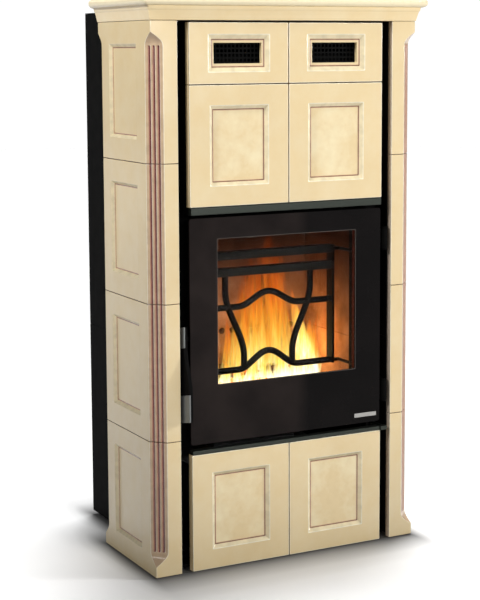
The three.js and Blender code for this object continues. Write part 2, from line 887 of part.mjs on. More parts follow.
const grateSeatZ = hearthZ - grateThickness - grateDrop;

// The two back bricks share the air holes, which straddle their joint
function backBrickPiece(low, high) {
  const holeZ = lowerBackTop - airHoleDrop;
  let brick = block(-backHalf, backHalf, fireBackY, brickBack, low, high);
  for (let group = 0; group < airHoleGroups; group += 1) {
    for (const side of [-1, 1]) {
      const x = (group - (airHoleGroups - 1) / 2) * airHoleSpread + side * airHolePitch / 2;
      const hole = rod('y', airHoleRadius, fireBackY - spare, brickBack + spare, x, holeZ, 12);
      brick = cut(brick, hole);
    }
  }
  return brick;
}

addPiece('brick_back_lower', backBrickPiece(hearthZ + fit, lowerBackTop), fireBrick());
addPiece('brick_back_upper', backBrickPiece(lowerBackTop + fit, brickTopZ), fireBrick());

function floorBricks() {
  const slab = block(-backHalf, backHalf, brickFront, brickBack, brickBottom, hearthZ);
  const halfW = grateWidth / 2;
  const halfD = grateDepth / 2;
  const rebate = block(
    -halfW - fit, halfW + fit, grateY - halfD - fit, grateY + halfD + fit,
    grateSeatZ, hearthZ + spare,
  );
  const hole = block(
    -halfW + grateSeat, halfW - grateSeat, grateY - halfD + grateSeat, grateY + halfD - grateSeat,
    brickBottom - spare, hearthZ,
  );
  return cut(slab, rebate, hole);
}

addPiece('brick_floor', floorBricks(), fireBrick());

function fireGrate() {
  const pitch = (grateWidth - grateSeat * 2) / grateSlots;
  const halfW = grateWidth / 2;
  const halfD = grateDepth / 2;
  const end = halfD - slotEnd;
  let plate = block(-halfW, halfW, -halfD, halfD, 0, grateThickness);
  for (let slot = 0; slot < grateSlots; slot += 1) {
    const x = (slot - (grateSlots - 1) / 2) * pitch;
    const half = slotWidth / 2;
    plate = cut(plate, block(x - half, x + half, -end, end, -spare, grateThickness + spare));
  }
  return plate;
}

addPiece('fire_grate', fireGrate(), castIron(), [0, grateY, grateSeatZ + fit]);

const bafflePlate = block(
  -shellInner + fit, shellInner - fit, fireFront + baffleFrontGap, brickBack,
  brickTopZ + fit, brickTopZ + baffleThickness - fit,
);
addPiece('baffle_plate', bafflePlate, fireBrick());

function ashChute() {
  const halfW = grateWidth / 2 - grateSeat;
  const halfD = grateDepth / 2 - grateSeat;
  const top = shellBottomZ - fit;
  const bottom = top - chuteDrop;
  const wall = sheet;
  const outside = block(
    -halfW - wall, halfW + wall, grateY - halfD - wall, grateY + halfD + wall, bottom, top,
  );
  const inside = block(-halfW, halfW, grateY - halfD, grateY + halfD, bottom - spare, top + spare);
  return cut(outside, inside);
}

addPiece('ash_chute', ashChute(), bareSteel());

// ---- Door ----

function doorGlass() {
  const radius = glassCorner;
  const shape = new THREE.Shape();
  const halfH = doorHeight / 2;
  shape.moveTo(-middleHalf + radius, -halfH);
  shape.lineTo(middleHalf - radius, -halfH);
  shape.absarc(middleHalf - radius, -halfH + radius, radius, -Math.PI / 2, 0);
  shape.absarc(middleHalf - radius, halfH - radius, radius, 0, Math.PI / 2);
  shape.absarc(-middleHalf + radius, halfH - radius, radius, Math.PI / 2, Math.PI);
  shape.absarc(-middleHalf + radius, -halfH + radius, radius, Math.PI, Math.PI * 1.5);
  const geometry = extruded(shape, glassThickness);
  geometry.rotateX(Math.PI / 2);
  geometry.translate(0, glassThickness, 0);
  return toSolid(geometry);
}

addPiece('door_glass', doorGlass(), smokedGlass(), [0, glassFront, doorZ + doorHeight / 2], door);

const hingeX = gapMiddle;
const hingeZs = [doorZ + hingeInset, doorTopZ - hingeInset - knuckleLength];

function ringSolid(half, bottom, top, width, y0, y1) {
  const outside = block(-half - width, half + width, y0, y1, bottom - width, top + width);
  return cut(outside, block(-half, half, y0 - spare, y1 + spare, bottom, top));
}

function doorFrame() {
  const halfWindow = windowHalf + windowLap;
  const frameBottom = doorZ + glassOverlap;
  const frameTop = doorTopZ - glassOverlap;
  let frame = block(
    -doorFrameHalf, doorFrameHalf, doorFrameFront, doorFrameBack, frameBottom, frameTop,
  );
  const opening = block(
    -halfWindow, halfWindow, doorFrameFront - spare, doorFrameBack + spare,
    windowBottomZ - windowLap, windowTopZ + windowLap,
  );
  const groove = ringSolid(
    mouthHalf + gasketInner - fit, mouthBottomZ - gasketInner + fit, mouthTopZ + gasketInner - fit,
    gasketWidth + fit * 2, doorFrameBack - gasketGroove, doorFrameBack + spare,
  );
  const spindleBore = rod(
    'x', spindleRadius + spindleClearance, -doorFrameHalf - spare,
    -doorFrameHalf + spindleDepth + spare, spindleY, spindleZ, 24,
  );
  frame = cut(frame, opening, groove, spindleBore);
  for (const z of hingeZs) {
    const lug = block(
      doorFrameHalf - spare, hingeX, doorFrameFront, hingeSetback + knuckleRadius, z, z + knuckleLength,
    );
    const knuckle = rod('z', knuckleRadius, z, z + knuckleLength, hingeX, hingeSetback, 20);
    const bore = rod(
      'z', hingePin + hingeClearance, z - spare, z + knuckleLength + spare, hingeX, hingeSetback, 20,
    );
    frame = cut(join(frame, lug, knuckle), bore);
  }
  return frame;
}

addPiece('door_frame', doorFrame(), castIron(), [0, 0, 0], door);

const gasket = ringSolid(
  mouthHalf + gasketInner, mouthBottomZ - gasketInner, mouthTopZ + gasketInner,
  gasketWidth, gasketFront, gasketFront + gasketCrush,
);
addPiece('door_gasket', gasket, ropeSeal(), [0, 0, 0], door);

const plateY = glassFront - fit - plateThickness;
const plainPlate = block(
  middleHalf - plateInset - plateWidth, middleHalf - plateInset, plateY, plateY + plateThickness,
  doorZ + plateRise, doorZ + plateRise + plateHeight,
);
addPiece('plain_plate', plainPlate, bareSteel(), [0, 0, 0], door);

// ---- Log guard: a deep flat frame with two waved bars and two curved uprights ----

class WaveLine extends THREE.Curve {
  constructor(half, height, rise) {
    super();
    this.half = half;
    this.height = height;
    this.rise = rise;
  }

  getPoint(share) {
    const x = (share * 2 - 1) * this.half;
    const near = Math.min(Math.abs(x) / waveHalf, 1);
    const bump = Math.cos(near * Math.PI / 2) ** 2;
    return new THREE.Vector3(x, 0, this.height + this.rise * bump);
  }
}

class UprightLine extends THREE.Curve {
  constructor(low, high) {
    super();
    this.low = low;
    this.high = high;
  }

  getPoint(share) {
    const z = this.low + (this.high - this.low) * share;
    const turn = Math.min(Math.max((share - uprightBendStart) / uprightBendLength, 0), 1);
    const ease = turn * turn * (3 - 2 * turn);
    return new THREE.Vector3(uprightFoot + (uprightTop - uprightFoot) * ease, 0, z);
  }
}

function roundBar(line, steps) {
  const sides = 8;
  const section = [];
  for (let side = 0; side < sides; side += 1) {
    const angle = (side + 0.5) / sides * Math.PI * 2;
    section.push([Math.cos(angle) * guardRod, Math.sin(angle) * guardRod]);
  }
  return new THREE.ExtrudeGeometry(shapeOf(section), { steps, bevelEnabled: false, extrudePath: line });
}

function logGuard() {
  const half = windowHalf - guardMargin;
  const foot0 = lowerWaveHeight - guardRod;
  const barY = guardRod + overlap;
  const studX = windowHalf + windowLap + guardStud + studInset;
  const studFront = doorFrameBack + fit - guardSetback;
  const frame = cut(
    block(-half, half, 0, guardDepth, foot0, guardHeight),
    block(
      -half + guardSide, half - guardSide, -spare, guardDepth + spare,
      foot0 - spare, guardHeight - guardBar,
    ),
  );
  const secondBar = block(
    -half + overlap, half - overlap, 0, guardDepth,
    guardHeight - guardSecondBar - guardBar, guardHeight - guardSecondBar,
  );
  const bars = [
    new WaveLine(half - overlap, upperWaveHeight, upperWaveRise),
    new WaveLine(half - overlap, lowerWaveHeight, lowerWaveRise),
  ].map((line) => roundBar(line, 20).translate(0, barY, 0));
  const uprightLine = new UprightLine(
    lowerWaveHeight + overlap * 2, guardHeight - guardSecondBar - overlap,
  );
  const upright = mergeVertices(roundBar(uprightLine, 12).translate(0, barY, 0));
  const studs = [-1, 1].flatMap((side) => [guardHeight - guardBar / 2, lowerWaveHeight].map((z) => join(
    rod('y', guardStud, studFront, guardStud * 2, side * studX, z, 12),
    block(
      Math.min(side * studX, side * (half - overlap)), Math.max(side * studX, side * (half - overlap)),
      0, guardStud * 2, z - guardStud, z + guardStud,
    ),
  )));
  return join(
    frame, secondBar, ...bars.map(toSolid), toSolid(upright), toSolid(mirrored(upright)), ...studs,
  );
}

addPiece('log_guard', logGuard(), castIron(), [0, guardSetback, doorTopZ - guardDrop - guardHeight], door);

// ---- Hinge brackets on the frame, each with the pin that the door turns on ----

function hingeBracket() {
  const reach = framePlane - fit - hingeSetback;
  const half = knuckleRadius - earInset;
  const gapEar = knuckleLength + fit;
  const ears = [-fit - earThickness, gapEar].map((z) => join(
    block(-half, half, 0, reach, z, z + earThickness),
    rod('z', half, z, z + earThickness, 0, 0, 20),
  ));
  const back = block(-half, half, reach - earThickness, reach, -fit - earThickness, gapEar + earThickness);
  const pin = rod('z', hingePin, -fit - overlap, gapEar + overlap, 0, 0, 20);
  return join(...ears, back, pin);
}

addPiece('hinge_bracket_lower', hingeBracket(), castIron(), [hingeX, hingeSetback, hingeZs[0]]);
addPiece('hinge_bracket_upper', hingeBracket(), castIron(), [hingeX, hingeSetback, hingeZs[1]]);

// ---- Handle: a flat lever in the gap, deeper towards its foot ----

const handleLeft = handleX - handleThickness / 2;
const handleRight = handleX + handleThickness / 2;
const handleTopZ = doorZ + handleTop;
const handleBottomZ = handleTopZ - handleLength;
const neckFront = handleBack - handleNeck;
const footFront0 = handleBack - handleFoot;
const capBottomZ = handleTopZ - handleCapHeight;
const gripTopZ = handleBottomZ + handleGripHeight;

// Front edge of the lever at a height: straight, then swelling forward, then straight
function leverFront(z) {
  const share = Math.min(Math.max((capBottomZ - z) / (capBottomZ - gripTopZ), 0), 1);
  const ease = share * share * (3 - 2 * share);
  return neckFront + (footFront0 - neckFront) * ease;
}

// Heights along the lever rise towards its front
function slanted(y, z) {
  return [y, z + handleSlant * (handleBack - y) / handleFoot];
}

function leverOutline(low, high) {
  const steps = 8;
  const outline = [slanted(handleBack, high), slanted(handleBack, low)];
  for (let step = 0; step <= steps; step += 1) {
    const z = low + (high - low) * step / steps;
    outline.push(slanted(leverFront(z), z));
  }
  return outline;
}

function handleArm() {
  const spine = across(leverOutline(handleBottomZ, handleTopZ), handleRight - handleSpine, handleRight);
  const middle = across(leverOutline(gripTopZ + fit, capBottomZ - fit), handleLeft, handleRight - overlap);
  const tongue = block(
    handleRight - handleSpine, handleRight, handleBack - overlap, tongueReach,
    tongueTopZ - tongueHeight, tongueTopZ,
  );
  const spindle = rod(
    'x', spindleRadius, handleRight - overlap, -doorFrameHalf + spindleDepth, spindleY, spindleZ, 24,
  );
  return join(spine, middle, tongue, spindle);
}

function handlePad(low, high) {
  const depth = 12;
  const height = 6;
  const front = leverFront((low + high) / 2);
  const outline = [
    [front, low],
    [handleBack - depth, low],
    [handleBack - depth * 0.3, low + height * 0.3],
    [handleBack, low + height],
    [handleBack, high - height],
    [handleBack - depth * 0.3, high - height * 0.3],
    [handleBack - depth, high],
    [front, high],
  ];
  const turned = outline.map(([y, z]) => slanted(y, z));
  return across(turned, handleLeft, handleRight - handleSpine - fit);
}

addPiece('handle_arm', handleArm(), blackPaint(), [0, 0, 0], handle);
addPiece('handle_cap', handlePad(capBottomZ, handleTopZ), greyMetal(), [0, 0, 0], handle);
addPiece('handle_grip', handlePad(handleBottomZ, gripTopZ), greyMetal(), [0, 0, 0], handle);

function latchCatch() {
  const plateX = -casingHalf + sheet + fit;
  const half = catchPlate / 2;
  const y = tongueReach - catchSetback;
  const z = tongueTopZ + catchGap + catchRadius;
  return join(
    block(plateX, plateX + sheet, y - half, y + half, z - half, z + half),
    rod('x', catchRadius, plateX + overlap, handleRight + overlap, y, z, 16),
  );
}

addPiece('latch_catch', latchCatch(), bareSteel());

// ---- Ash drawer behind the lower tiles ----

const runnerTopZ = baseTopZ + fit + runnerHeight;
const trayZ = runnerTopZ + fit;
const trayFront = tileBack + drawerFrontSheet + fit;
const trayBack = casingBackY - trayBackGap;
const trayHalf = middleHalf - trayMargin;

const drawerFront = block(
  -middleHalf + drawerFrontInset, middleHalf - drawerFrontInset, tileBack, tileBack + drawerFrontSheet,
  floorGap + drawerFrontGap, drawerRailZ + drawerRailHeight - drawerFrontGap,
);
addPiece('drawer_front', drawerFront, blackPaint(), [0, 0, 0], drawer);

function openTray(half, y0, y1, z0, z1, wall) {
  const outside = block(-half, half, y0, y1, z0, z1);
  const hollow = block(-half + wall, half - wall, y0 + wall, y1 - wall, z0 + wall, z1 + spare);
  return cut(outside, hollow);
}

const tray = openTray(trayHalf, trayFront, trayBack, trayZ, trayZ + trayRim, sheet);
addPiece('drawer_tray', tray, blackPaint(), [0, 0, 0], drawer);

const panZ = trayZ + sheet + fit;
const panHalf = trayHalf - panMargin;
const ashPan = openTray(panHalf, panFront, panFront + panDepth, panZ, panZ + panHeight, sheet);
addPiece('ash_pan', ashPan, bareSteel(), [0, 0, 0], drawer);

for (const [side, x] of [['left', -trayHalf], ['right', trayHalf - runnerWidth]]) {
  const runner = block(
    x, x + runnerWidth, framePlane + sheet + fit, casingBackY - fit, baseTopZ + fit, runnerTopZ,
  );
  addPiece(`drawer_runner_${side}`, runner, bareSteel());
}

// ---- Combustion-air pull in the right-hand gap ----

function airLever() {
  const tab = block(
    leverTabLeft, leverX + leverRadius, -leverProud, -leverProud + leverTabDepth,
    leverZ - leverTabHeight / 2, leverZ + leverTabHeight / 2,
  );
  return join(tab, rod('y', leverRadius, -leverProud + overlap, leverLength, leverX, leverZ, 20));
}

addPiece('air_lever', airLever(), greyMetal());

// ---- Origin: on the floor, under the middle of the stove's box ----

const frontMost = Math.min(footFront0, -bullnoseReach);
const backMost = casingDepth + inletReach;
stove.position.y = -(frontMost + backMost) / 2;

const part = new THREE.Group();
part.add(stove);

export default part;
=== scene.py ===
import math
import random

import bmesh
import bpy
from mathutils import Matrix, Vector


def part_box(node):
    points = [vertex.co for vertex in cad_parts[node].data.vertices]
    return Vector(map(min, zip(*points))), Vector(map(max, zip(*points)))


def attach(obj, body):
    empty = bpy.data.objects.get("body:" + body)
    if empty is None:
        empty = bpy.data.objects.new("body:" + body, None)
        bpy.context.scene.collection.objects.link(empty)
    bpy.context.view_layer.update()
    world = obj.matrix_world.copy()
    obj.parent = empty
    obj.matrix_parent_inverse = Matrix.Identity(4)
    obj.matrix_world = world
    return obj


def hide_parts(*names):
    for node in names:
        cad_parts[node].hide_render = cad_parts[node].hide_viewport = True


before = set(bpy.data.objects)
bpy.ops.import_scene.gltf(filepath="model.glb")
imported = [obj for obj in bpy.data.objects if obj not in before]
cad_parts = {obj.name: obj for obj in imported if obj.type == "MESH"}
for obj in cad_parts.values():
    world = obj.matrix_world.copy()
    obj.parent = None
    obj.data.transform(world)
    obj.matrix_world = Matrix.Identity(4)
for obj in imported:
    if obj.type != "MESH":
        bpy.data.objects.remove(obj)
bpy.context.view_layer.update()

# Sizes are in millimetres, with Y counted back from the front of the pilasters.
# Every mesh is made in metres, in the row's frame, with its origin at 0.
mm = 0.001
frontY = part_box("pilaster_right_1")[0].y / mm


def nodeBox(node):
    low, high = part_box(node)
    return (
        low.x / mm, high.x / mm, low.y / mm - frontY, high.y / mm - frontY, low.z / mm, high.z / mm,
    )


def inMetres(point):
    x, y, z = point
    return (x * mm, (y + frontY) * mm, z * mm)


def newObject(name, data):
    obj = bpy.data.objects.new(name, data)
    bpy.context.scene.collection.objects.link(obj)
    return obj


# Paint

class Paint:
    # A Principled material, and the nodes that colour it
    def __init__(self, name, colour, roughness, metal=0.0, specular=0.5):
        self.material = bpy.data.materials.new(name)
        self.material.use_nodes = True
        self.tree = self.material.node_tree
        self.shader = self.tree.nodes["Principled BSDF"]
        self.feed(self.shader, {
            "Base Color": (*colour, 1), "Roughness": roughness, "Metallic": metal,
            "Specular IOR Level": specular,
        })
        self.coords = self.node("TexCoord")

    def node(self, kind):
        return self.tree.nodes.new("ShaderNode" + kind)

    def feed(self, node, sockets):
        # Links each socket to another node's output, or sets it to a plain value
        for name, value in sockets.items():
            if isinstance(value, bpy.types.NodeSocket):
                self.tree.links.new(value, node.inputs[name])
            else:
                node.inputs[name].default_value = value
        return node

    def set(self, socket, value):
        self.feed(self.shader, {socket: value})

    def noise(self, scale, detail=3.0, roughness=0.5, stretch=(1, 1, 1)):
        places = self.coords.outputs["Object"]
        mapping = self.feed(self.node("Mapping"), {"Vector": places, "Scale": stretch})
        texture = self.feed(self.node("TexNoise"), {
            "Vector": mapping.outputs["Vector"], "Scale": scale, "Detail": detail, "Roughness": roughness,
        })
        return texture.outputs["Fac"]

    def along(self, axis, coords="Object"):
        return self.feed(self.node("SeparateXYZ"), {0: self.coords.outputs[coords]}).outputs[axis]

    def ramp(self, source, stops):
        node = self.feed(self.node("ValToRGB"), {"Fac": source})
        elements = node.color_ramp.elements
        while len(elements) < len(stops):
            elements.new(0.5)
        for element, (place, colour) in zip(elements, stops):
            element.position = place
            element.color = (*colour, 1)
        return node.outputs["Color"]

    def mixed(self, kind, share, first, second):
        node = self.node("Mix")
        node.data_type = "RGBA"
        node.blend_type = kind
        return self.feed(node, {0: share, 6: first, 7: second}).outputs[2]

    def maths(self, operation, *values):
        node = self.node("Math")
        node.operation = operation
        return self.feed(node, dict(enumerate(values))).outputs[0]

    def beyond(self, axis, middle, half):
        # How far a place lies past a half width, along one axis
        offset = self.maths("ABSOLUTE", self.maths("SUBTRACT", self.along(axis), middle * mm))
        return self.maths("SUBTRACT", offset, half * mm)

    def glow(self, colour, strength):
        self.set("Emission Color", colour)
        self.set("Emission Strength", strength)

    def bumps(self, source, depth, distance=0.001):
        bump = self.feed(self.node("Bump"), {"Strength": depth, "Distance": distance, "Height": source})
        self.set("Normal", bump.outputs["Normal"])

    def coloured(self, source):
        self.set("Base Color", source)
        return self.material


def shaded(colour, share):
    return tuple(value * share for value in colour)


# Picture and light

studio = {
    "skyLight": 0.26,
    "overheadStrength": 2.6,
    "overheadSoftness": 16,  # degrees
    "overheadFrom": Vector((0.13, 0.19, 1.0)),
    # name, place, aimed at, power, cone in degrees, soft share of the cone, size
    "lamps": [
        ("frontLamp", (0.5, -3.3, 1.52), (0.12, -0.24, 0.97), 201, 35.4, 0.3, 0.3),
        ("leftLamp", (-2.5, -0.9, 2.6), (-0.3, 0.0, 1.3), 300, 40, 1, 0.3),
        ("rightLamp", (2.4, -1.55, 1.2), (0.0, -0.26, 0.75), 160, 48, 0.5, 0.3),
        ("lowLamp", (-1.0, -2.9, 0.8), (-0.18, -0.24, 0.33), 52, 17, 1, 0.3),
    ],
    "floorColour": (0.98, 0.98, 0.98),
    # painted contact shadow round the foot: (distance from the stove, share of the floor's tone), and the
    # distance's scale along X and Y
    "paintedFootShadow": [(0.0, 0.15), (0.02, 0.48), (0.045, 0.86), (0.075, 1.0)],
    "paintedShadowScale": (1.35, 0.5),
    "floorSize": 30,
    "backdropRadius": 14,
}

camera = {
    "place": (-1.5972, -3.0772, 1.0908),
    "turn": 27.594,
    "tilt": 6.796,
    "roll": -0.29,
    "lens": 92.931,
    "shift": -0.11,
    "sensor": 36,
}


def makeCamera():
    data = bpy.data.cameras.new("camera")
    data.lens = camera["lens"]
    data.sensor_width = camera["sensor"]
    data.sensor_fit = "AUTO"
    data.shift_y = camera["shift"]
    data.dof.use_dof = False
    turn, tilt, roll = (math.radians(camera[angle]) for angle in ("turn", "tilt", "roll"))
    level = math.cos(tilt)
    forward = Vector((math.sin(turn) * level, math.cos(turn) * level, -math.sin(tilt)))
    right = Vector((math.cos(turn), -math.sin(turn), 0))
    up = right.cross(forward)
    leanRight = math.cos(roll) * right + math.sin(roll) * up
    leanUp = -math.sin(roll) * right + math.cos(roll) * up
    turned = Matrix((leanRight, leanUp, -forward)).transposed()
    obj = newObject("camera", data)
    obj.matrix_world = Matrix.Translation(camera["place"]) @ turned.to_4x4()
    bpy.context.scene.camera = obj


def makeLamp(name, kind, place, target):
    lamp = newObject(name, bpy.data.lights.new(name, kind))
    lamp.location = place
    lamp.rotation_mode = "QUATERNION"
    lamp.rotation_quaternion = (Vector(place) - Vector(target)).to_track_quat("Z", "Y")
    return lamp


def floorPaint():
    # Pale, with a painted contact shadow close round the foot of the stove
    paint = Paint("floorPaint", studio["floorColour"], 0.9, specular=0.1)
    distance = None
    for node in ("pilaster_right_1", "casing_lower_right"):
        _, halfX, front, back, _, _ = nodeBox(node)
        halfY = (back - front) / 2
        squares = []
        sides = (("X", 0, halfX), ("Y", front + frontY + halfY, halfY))
        for side, scale in zip(sides, studio["paintedShadowScale"]):
            outside = paint.maths("MAXIMUM", paint.beyond(*side), 0.0)
            squares.append(paint.maths("POWER", paint.maths("MULTIPLY", outside, scale), 2.0))
        reach = paint.maths("SQRT", paint.maths("ADD", *squares))
        distance = reach if distance is None else paint.maths("MINIMUM", distance, reach)
    stops = [(place, shaded(studio["floorColour"], share)) for place, share in studio["paintedFootShadow"]]
    return paint.coloured(paint.ramp(distance, stops))


def makeBackdrop():
    # A white dome that only the camera sees, straight on or through the glass
    mesh = bpy.data.meshes.new("whiteBackdrop")
    work = bmesh.new()
    bmesh.ops.create_icosphere(work, subdivisions=4, radius=studio["backdropRadius"])
    work.to_mesh(mesh)
    work.free()
    paint = Paint("backdropWhite", (0, 0, 0), 0.5)
    paint.glow((1, 1, 1, 1), 1)
    mesh.materials.append(paint.material)
    dome = newObject("whiteBackdrop", mesh)
    dome.visible_diffuse = False
    dome.visible_glossy = False
    dome.visible_shadow = False


def makeStudio():
    bpy.context.scene.view_settings.view_transform = "Standard"

    world = bpy.data.worlds.new("sky")
    world.use_nodes = True
    sky = studio["skyLight"]
    world.node_tree.nodes["Background"].inputs["Color"].default_value = (sky, sky, sky, 1)
    bpy.context.scene.world = world

    above = Vector((0, 0, 3))
    overhead = makeLamp("overheadLight", "SUN", above, above - studio["overheadFrom"])
    overhead.data.energy = studio["overheadStrength"]
    overhead.data.angle = math.radians(studio["overheadSoftness"])
    overhead.visible_glossy = False
    for name, place, target, power, cone, blend, size in studio["lamps"]:
        light = makeLamp(name, "SPOT", place, target).data
        light.energy = power
        light.spot_size = math.radians(cone)
        light.spot_blend = blend
        light.shadow_soft_size = size

    half = studio["floorSize"] / 2
    mesh = bpy.data.meshes.new("floor")
    corners = [(-half, -half, 0), (half, -half, 0), (half, half, 0), (-half, half, 0)]
    mesh.from_pydata(corners, [], [(0, 1, 2, 3)])
    mesh.materials.append(floorPaint())
    floor = newObject("floor", mesh)
    floor.visible_diffuse = False
    makeBackdrop()


makeStudio()
makeCamera()
print("camera, light and floor made")


# Materials

glaze = {
    "pale": (0.77, 0.60, 0.335),
    "deep": (0.69, 0.52, 0.275),
    "cloudy": (0.80, 0.67, 0.43),
    "cloud": (0.87, 0.76, 0.50),
    # painted highlight on the sloping bevels of the panels, paler than the glaze
    "slope": (0.83, 0.71, 0.46),
    # painted highlight on rounded edges and lips, partly glaze running thinner there
    "edge": (0.90, 0.82, 0.62),
    # painted shade: the chamfers darker than the glaze, where the lit front and side meet
    "chamfer": (0.57, 0.40, 0.25),
    # painted highlight on one lip of each flute, partly glaze running thinner there
    "thinLipHighlight": (0.90, 0.76, 0.62),
    "blush": (0.72, 0.47, 0.29),
    "hairline": (0.11, 0.04, 0.018),
    "rose": (0.50, 0.24, 0.16),
    # burgundy pooled in the flutes, spread up one wall as painted shade
    "burgundy": (0.13, 0.024, 0.018),
    # painted light: the cornice's glaze is made paler than the rest, to stand in for more light
    "corniceLightLift": 1.09,
    # painted highlight on the cornice's nose
    "nose": (0.88, 0.76, 0.51),
    "roughness": 0.24,
    "coat": 0.3,
    "coatRoughness": 0.16,
}


def glazed(paint, colour):
    paint.set("Coat Weight", glaze["coat"])
    paint.set("Coat Roughness", glaze["coatRoughness"])
    paint.bumps(paint.noise(34, 2.0), 0.12, 0.0012)
    return paint.coloured(colour)


def creamGlaze(name="creamGlaze", lift=1.0):
    pale, deep, cloudyTone = (shaded(glaze[tone], lift) for tone in ("pale", "deep", "cloudy"))
    paint = Paint(name, pale, glaze["roughness"])
    broad = paint.ramp(paint.noise(7, 4.0, 0.55), [(0.3, deep), (0.62, pale)])
    clouds = paint.ramp(paint.noise(19, 5.0, 0.6), [(0.35, pale), (0.7, cloudyTone)])
    return glazed(paint, paint.mixed("MIX", 0.55, broad, clouds))


def cloudyGlaze():
    paint = Paint("cloudyGlaze", glaze["pale"], glaze["roughness"])
    broad = paint.ramp(paint.noise(13, 4.0, 0.6), [(0.4, glaze["pale"]), (0.64, glaze["cloud"])])
    specks = paint.ramp(paint.noise(60, 4.0, 0.6), [(0.35, glaze["deep"]), (0.55, glaze["pale"])])
    return glazed(paint, paint.mixed("MIX", 0.25, broad, specks))


def tintedGlaze(name, tone, darkest=0.86):
    colour = glaze[tone]
    paint = Paint(name, colour, glaze["roughness"])
    tones = [(0.35, shaded(colour, darkest)), (0.6, colour)]
    return glazed(paint, paint.ramp(paint.noise(60, 3.0), tones))


def biscuit():
    paint = Paint("unglazedClay", (0.55, 0.44, 0.33), 0.9, specular=0.2)
    tones = [(0.3, (0.48, 0.37, 0.27)), (0.7, (0.6, 0.49, 0.38))]
    return paint.coloured(paint.ramp(paint.noise(220, 4.0), tones))


def stovePaint(name="blackStovePaint", tone=0.0045):
    paint = Paint(name, (tone, tone, tone), 0.7, specular=0.025)
    tones = [(0.3, shaded((0.75, 0.75, 0.75), tone)), (0.7, shaded((1.35, 1.3, 1.25), tone))]
    paint.bumps(paint.noise(1500, 2.0), 0.15, 0.0002)
    return paint.coloured(paint.ramp(paint.noise(40, 4.0), tones))


def castIron(name="castIron", roughness=0.7, specular=0.06):
    paint = Paint(name, (0.007, 0.0065, 0.006), roughness, specular=specular)
    tones = [(0.3, (0.0045, 0.0042, 0.004)), (0.75, (0.010, 0.009, 0.008))]
    paint.bumps(paint.noise(700, 3.0), 0.35, 0.0004)
    return paint.coloured(paint.ramp(paint.noise(90, 5.0), tones))


def doorIron():
    # Painted firelight round the window, a brown-red glow on the iron, and painted shade out to the hinges, a
    # near-black that sinks into the dark gap
    paint = Paint("doorCastIron", (0.007, 0.0065, 0.006), 0.7, specular=0.03)
    grain = paint.noise(90, 5.0)
    paintedFireGlow = paint.ramp(grain, [(0.3, (0.07, 0.016, 0.010)), (0.75, (0.12, 0.03, 0.018))])
    # painted shade: near-black iron out to the hinges
    outer = paint.ramp(grain, [(0.3, (0.001, 0.001, 0.001)), (0.75, (0.002, 0.0018, 0.0016))])
    sideways = paint.beyond("X", 0, doorGlass["windowHalf"])
    outside = paint.maths("MAXIMUM", sideways, paint.beyond("Z", *windowSpan()))
    outward = paint.ramp(outside, [(0.007, (0, 0, 0)), (0.012, (1, 1, 1))])
    paint.bumps(paint.noise(700, 3.0), 0.35, 0.0004)
    return paint.coloured(paint.mixed("MIX", outward, paintedFireGlow, outer))


def brushedMetal(name, tone, roughness=0.38, stretch=(4, 60, 60), metal=0.85):
    paint = Paint(name, tone, roughness, metal=metal)
    tones = [(0.3, shaded(tone, 0.8)), (0.7, tone)]
    return paint.coloured(paint.ramp(paint.noise(22, 4.0, 0.6, stretch), tones))


def fireBrick():
    paint = Paint("fireBrick", (0.5, 0.3, 0.16), 0.95, specular=0.15)
    clays = [(0.3, (0.30, 0.17, 0.09)), (0.52, (0.52, 0.32, 0.18)), (0.75, (0.66, 0.44, 0.27))]
    patches = paint.ramp(paint.noise(16, 6.0, 0.65), clays)
    soot = paint.ramp(paint.noise(7, 3.0), [(0.42, (0.35, 0.3, 0.28)), (0.62, (1, 1, 1))])
    stained = paint.mixed("MULTIPLY", 0.6, patches, soot)
    # Darker towards the top: soot, and painted shade where the fire's light is weak
    sootAndShadeStops = [(0.50, (1, 1, 1)), (0.60, (0.5, 0.4, 0.36)), (0.67, (0.13, 0.075, 0.07))]
    sootAndShade = paint.ramp(paint.along("Z"), sootAndShadeStops)
    paint.bumps(paint.noise(260, 6.0, 0.7), 0.7, 0.0012)
    return paint.coloured(paint.mixed("MULTIPLY", 1.0, stained, sootAndShade))


def ropeSeal():
    paint = Paint("ropeSeal", (0.05, 0.048, 0.044), 0.95, specular=0.1)
    weave = paint.noise(420, 2.0)
    paint.bumps(weave, 0.8)
    return paint.coloured(paint.ramp(weave, [(0.35, (0.025, 0.024, 0.022)), (0.65, (0.085, 0.08, 0.074))]))


glassLook = {
    "print": (0.009, 0.0062, 0.0056),
    "printPatch": (0.019, 0.0135, 0.012),
    "printRightShade": (0.22, 0.22, 0.24),  # painted shade: share of the print's tone on its right part, which is darker
    "line": (0.07, 0.055, 0.045),
    "printGloss": 0.09,
    "tint": (0.93, 0.92, 0.90),
    "bending": 1.08,
}


def printedGlass():
    tone = glassLook["print"]
    paint = Paint("blackPrintedGlass", tone, glassLook["printGloss"], specular=0.08)
    patches = paint.ramp(paint.noise(9, 3.0), [(0.35, tone), (0.7, glassLook["printPatch"])])
    # painted shade: the print darker on its right part
    right = paint.ramp(paint.along("X"), [(0.02, (1, 1, 1)), (0.05, glassLook["printRightShade"])])
    return paint.coloured(paint.mixed("MULTIPLY", 1.0, patches, right))


def clearGlass():
    paint = Paint("clearGlass", glassLook["tint"], 0.0, specular=0.1)
    paint.set("Transmission Weight", 1.0)
    paint.set("IOR", glassLook["bending"])
    return paint.material


cream = creamGlaze()
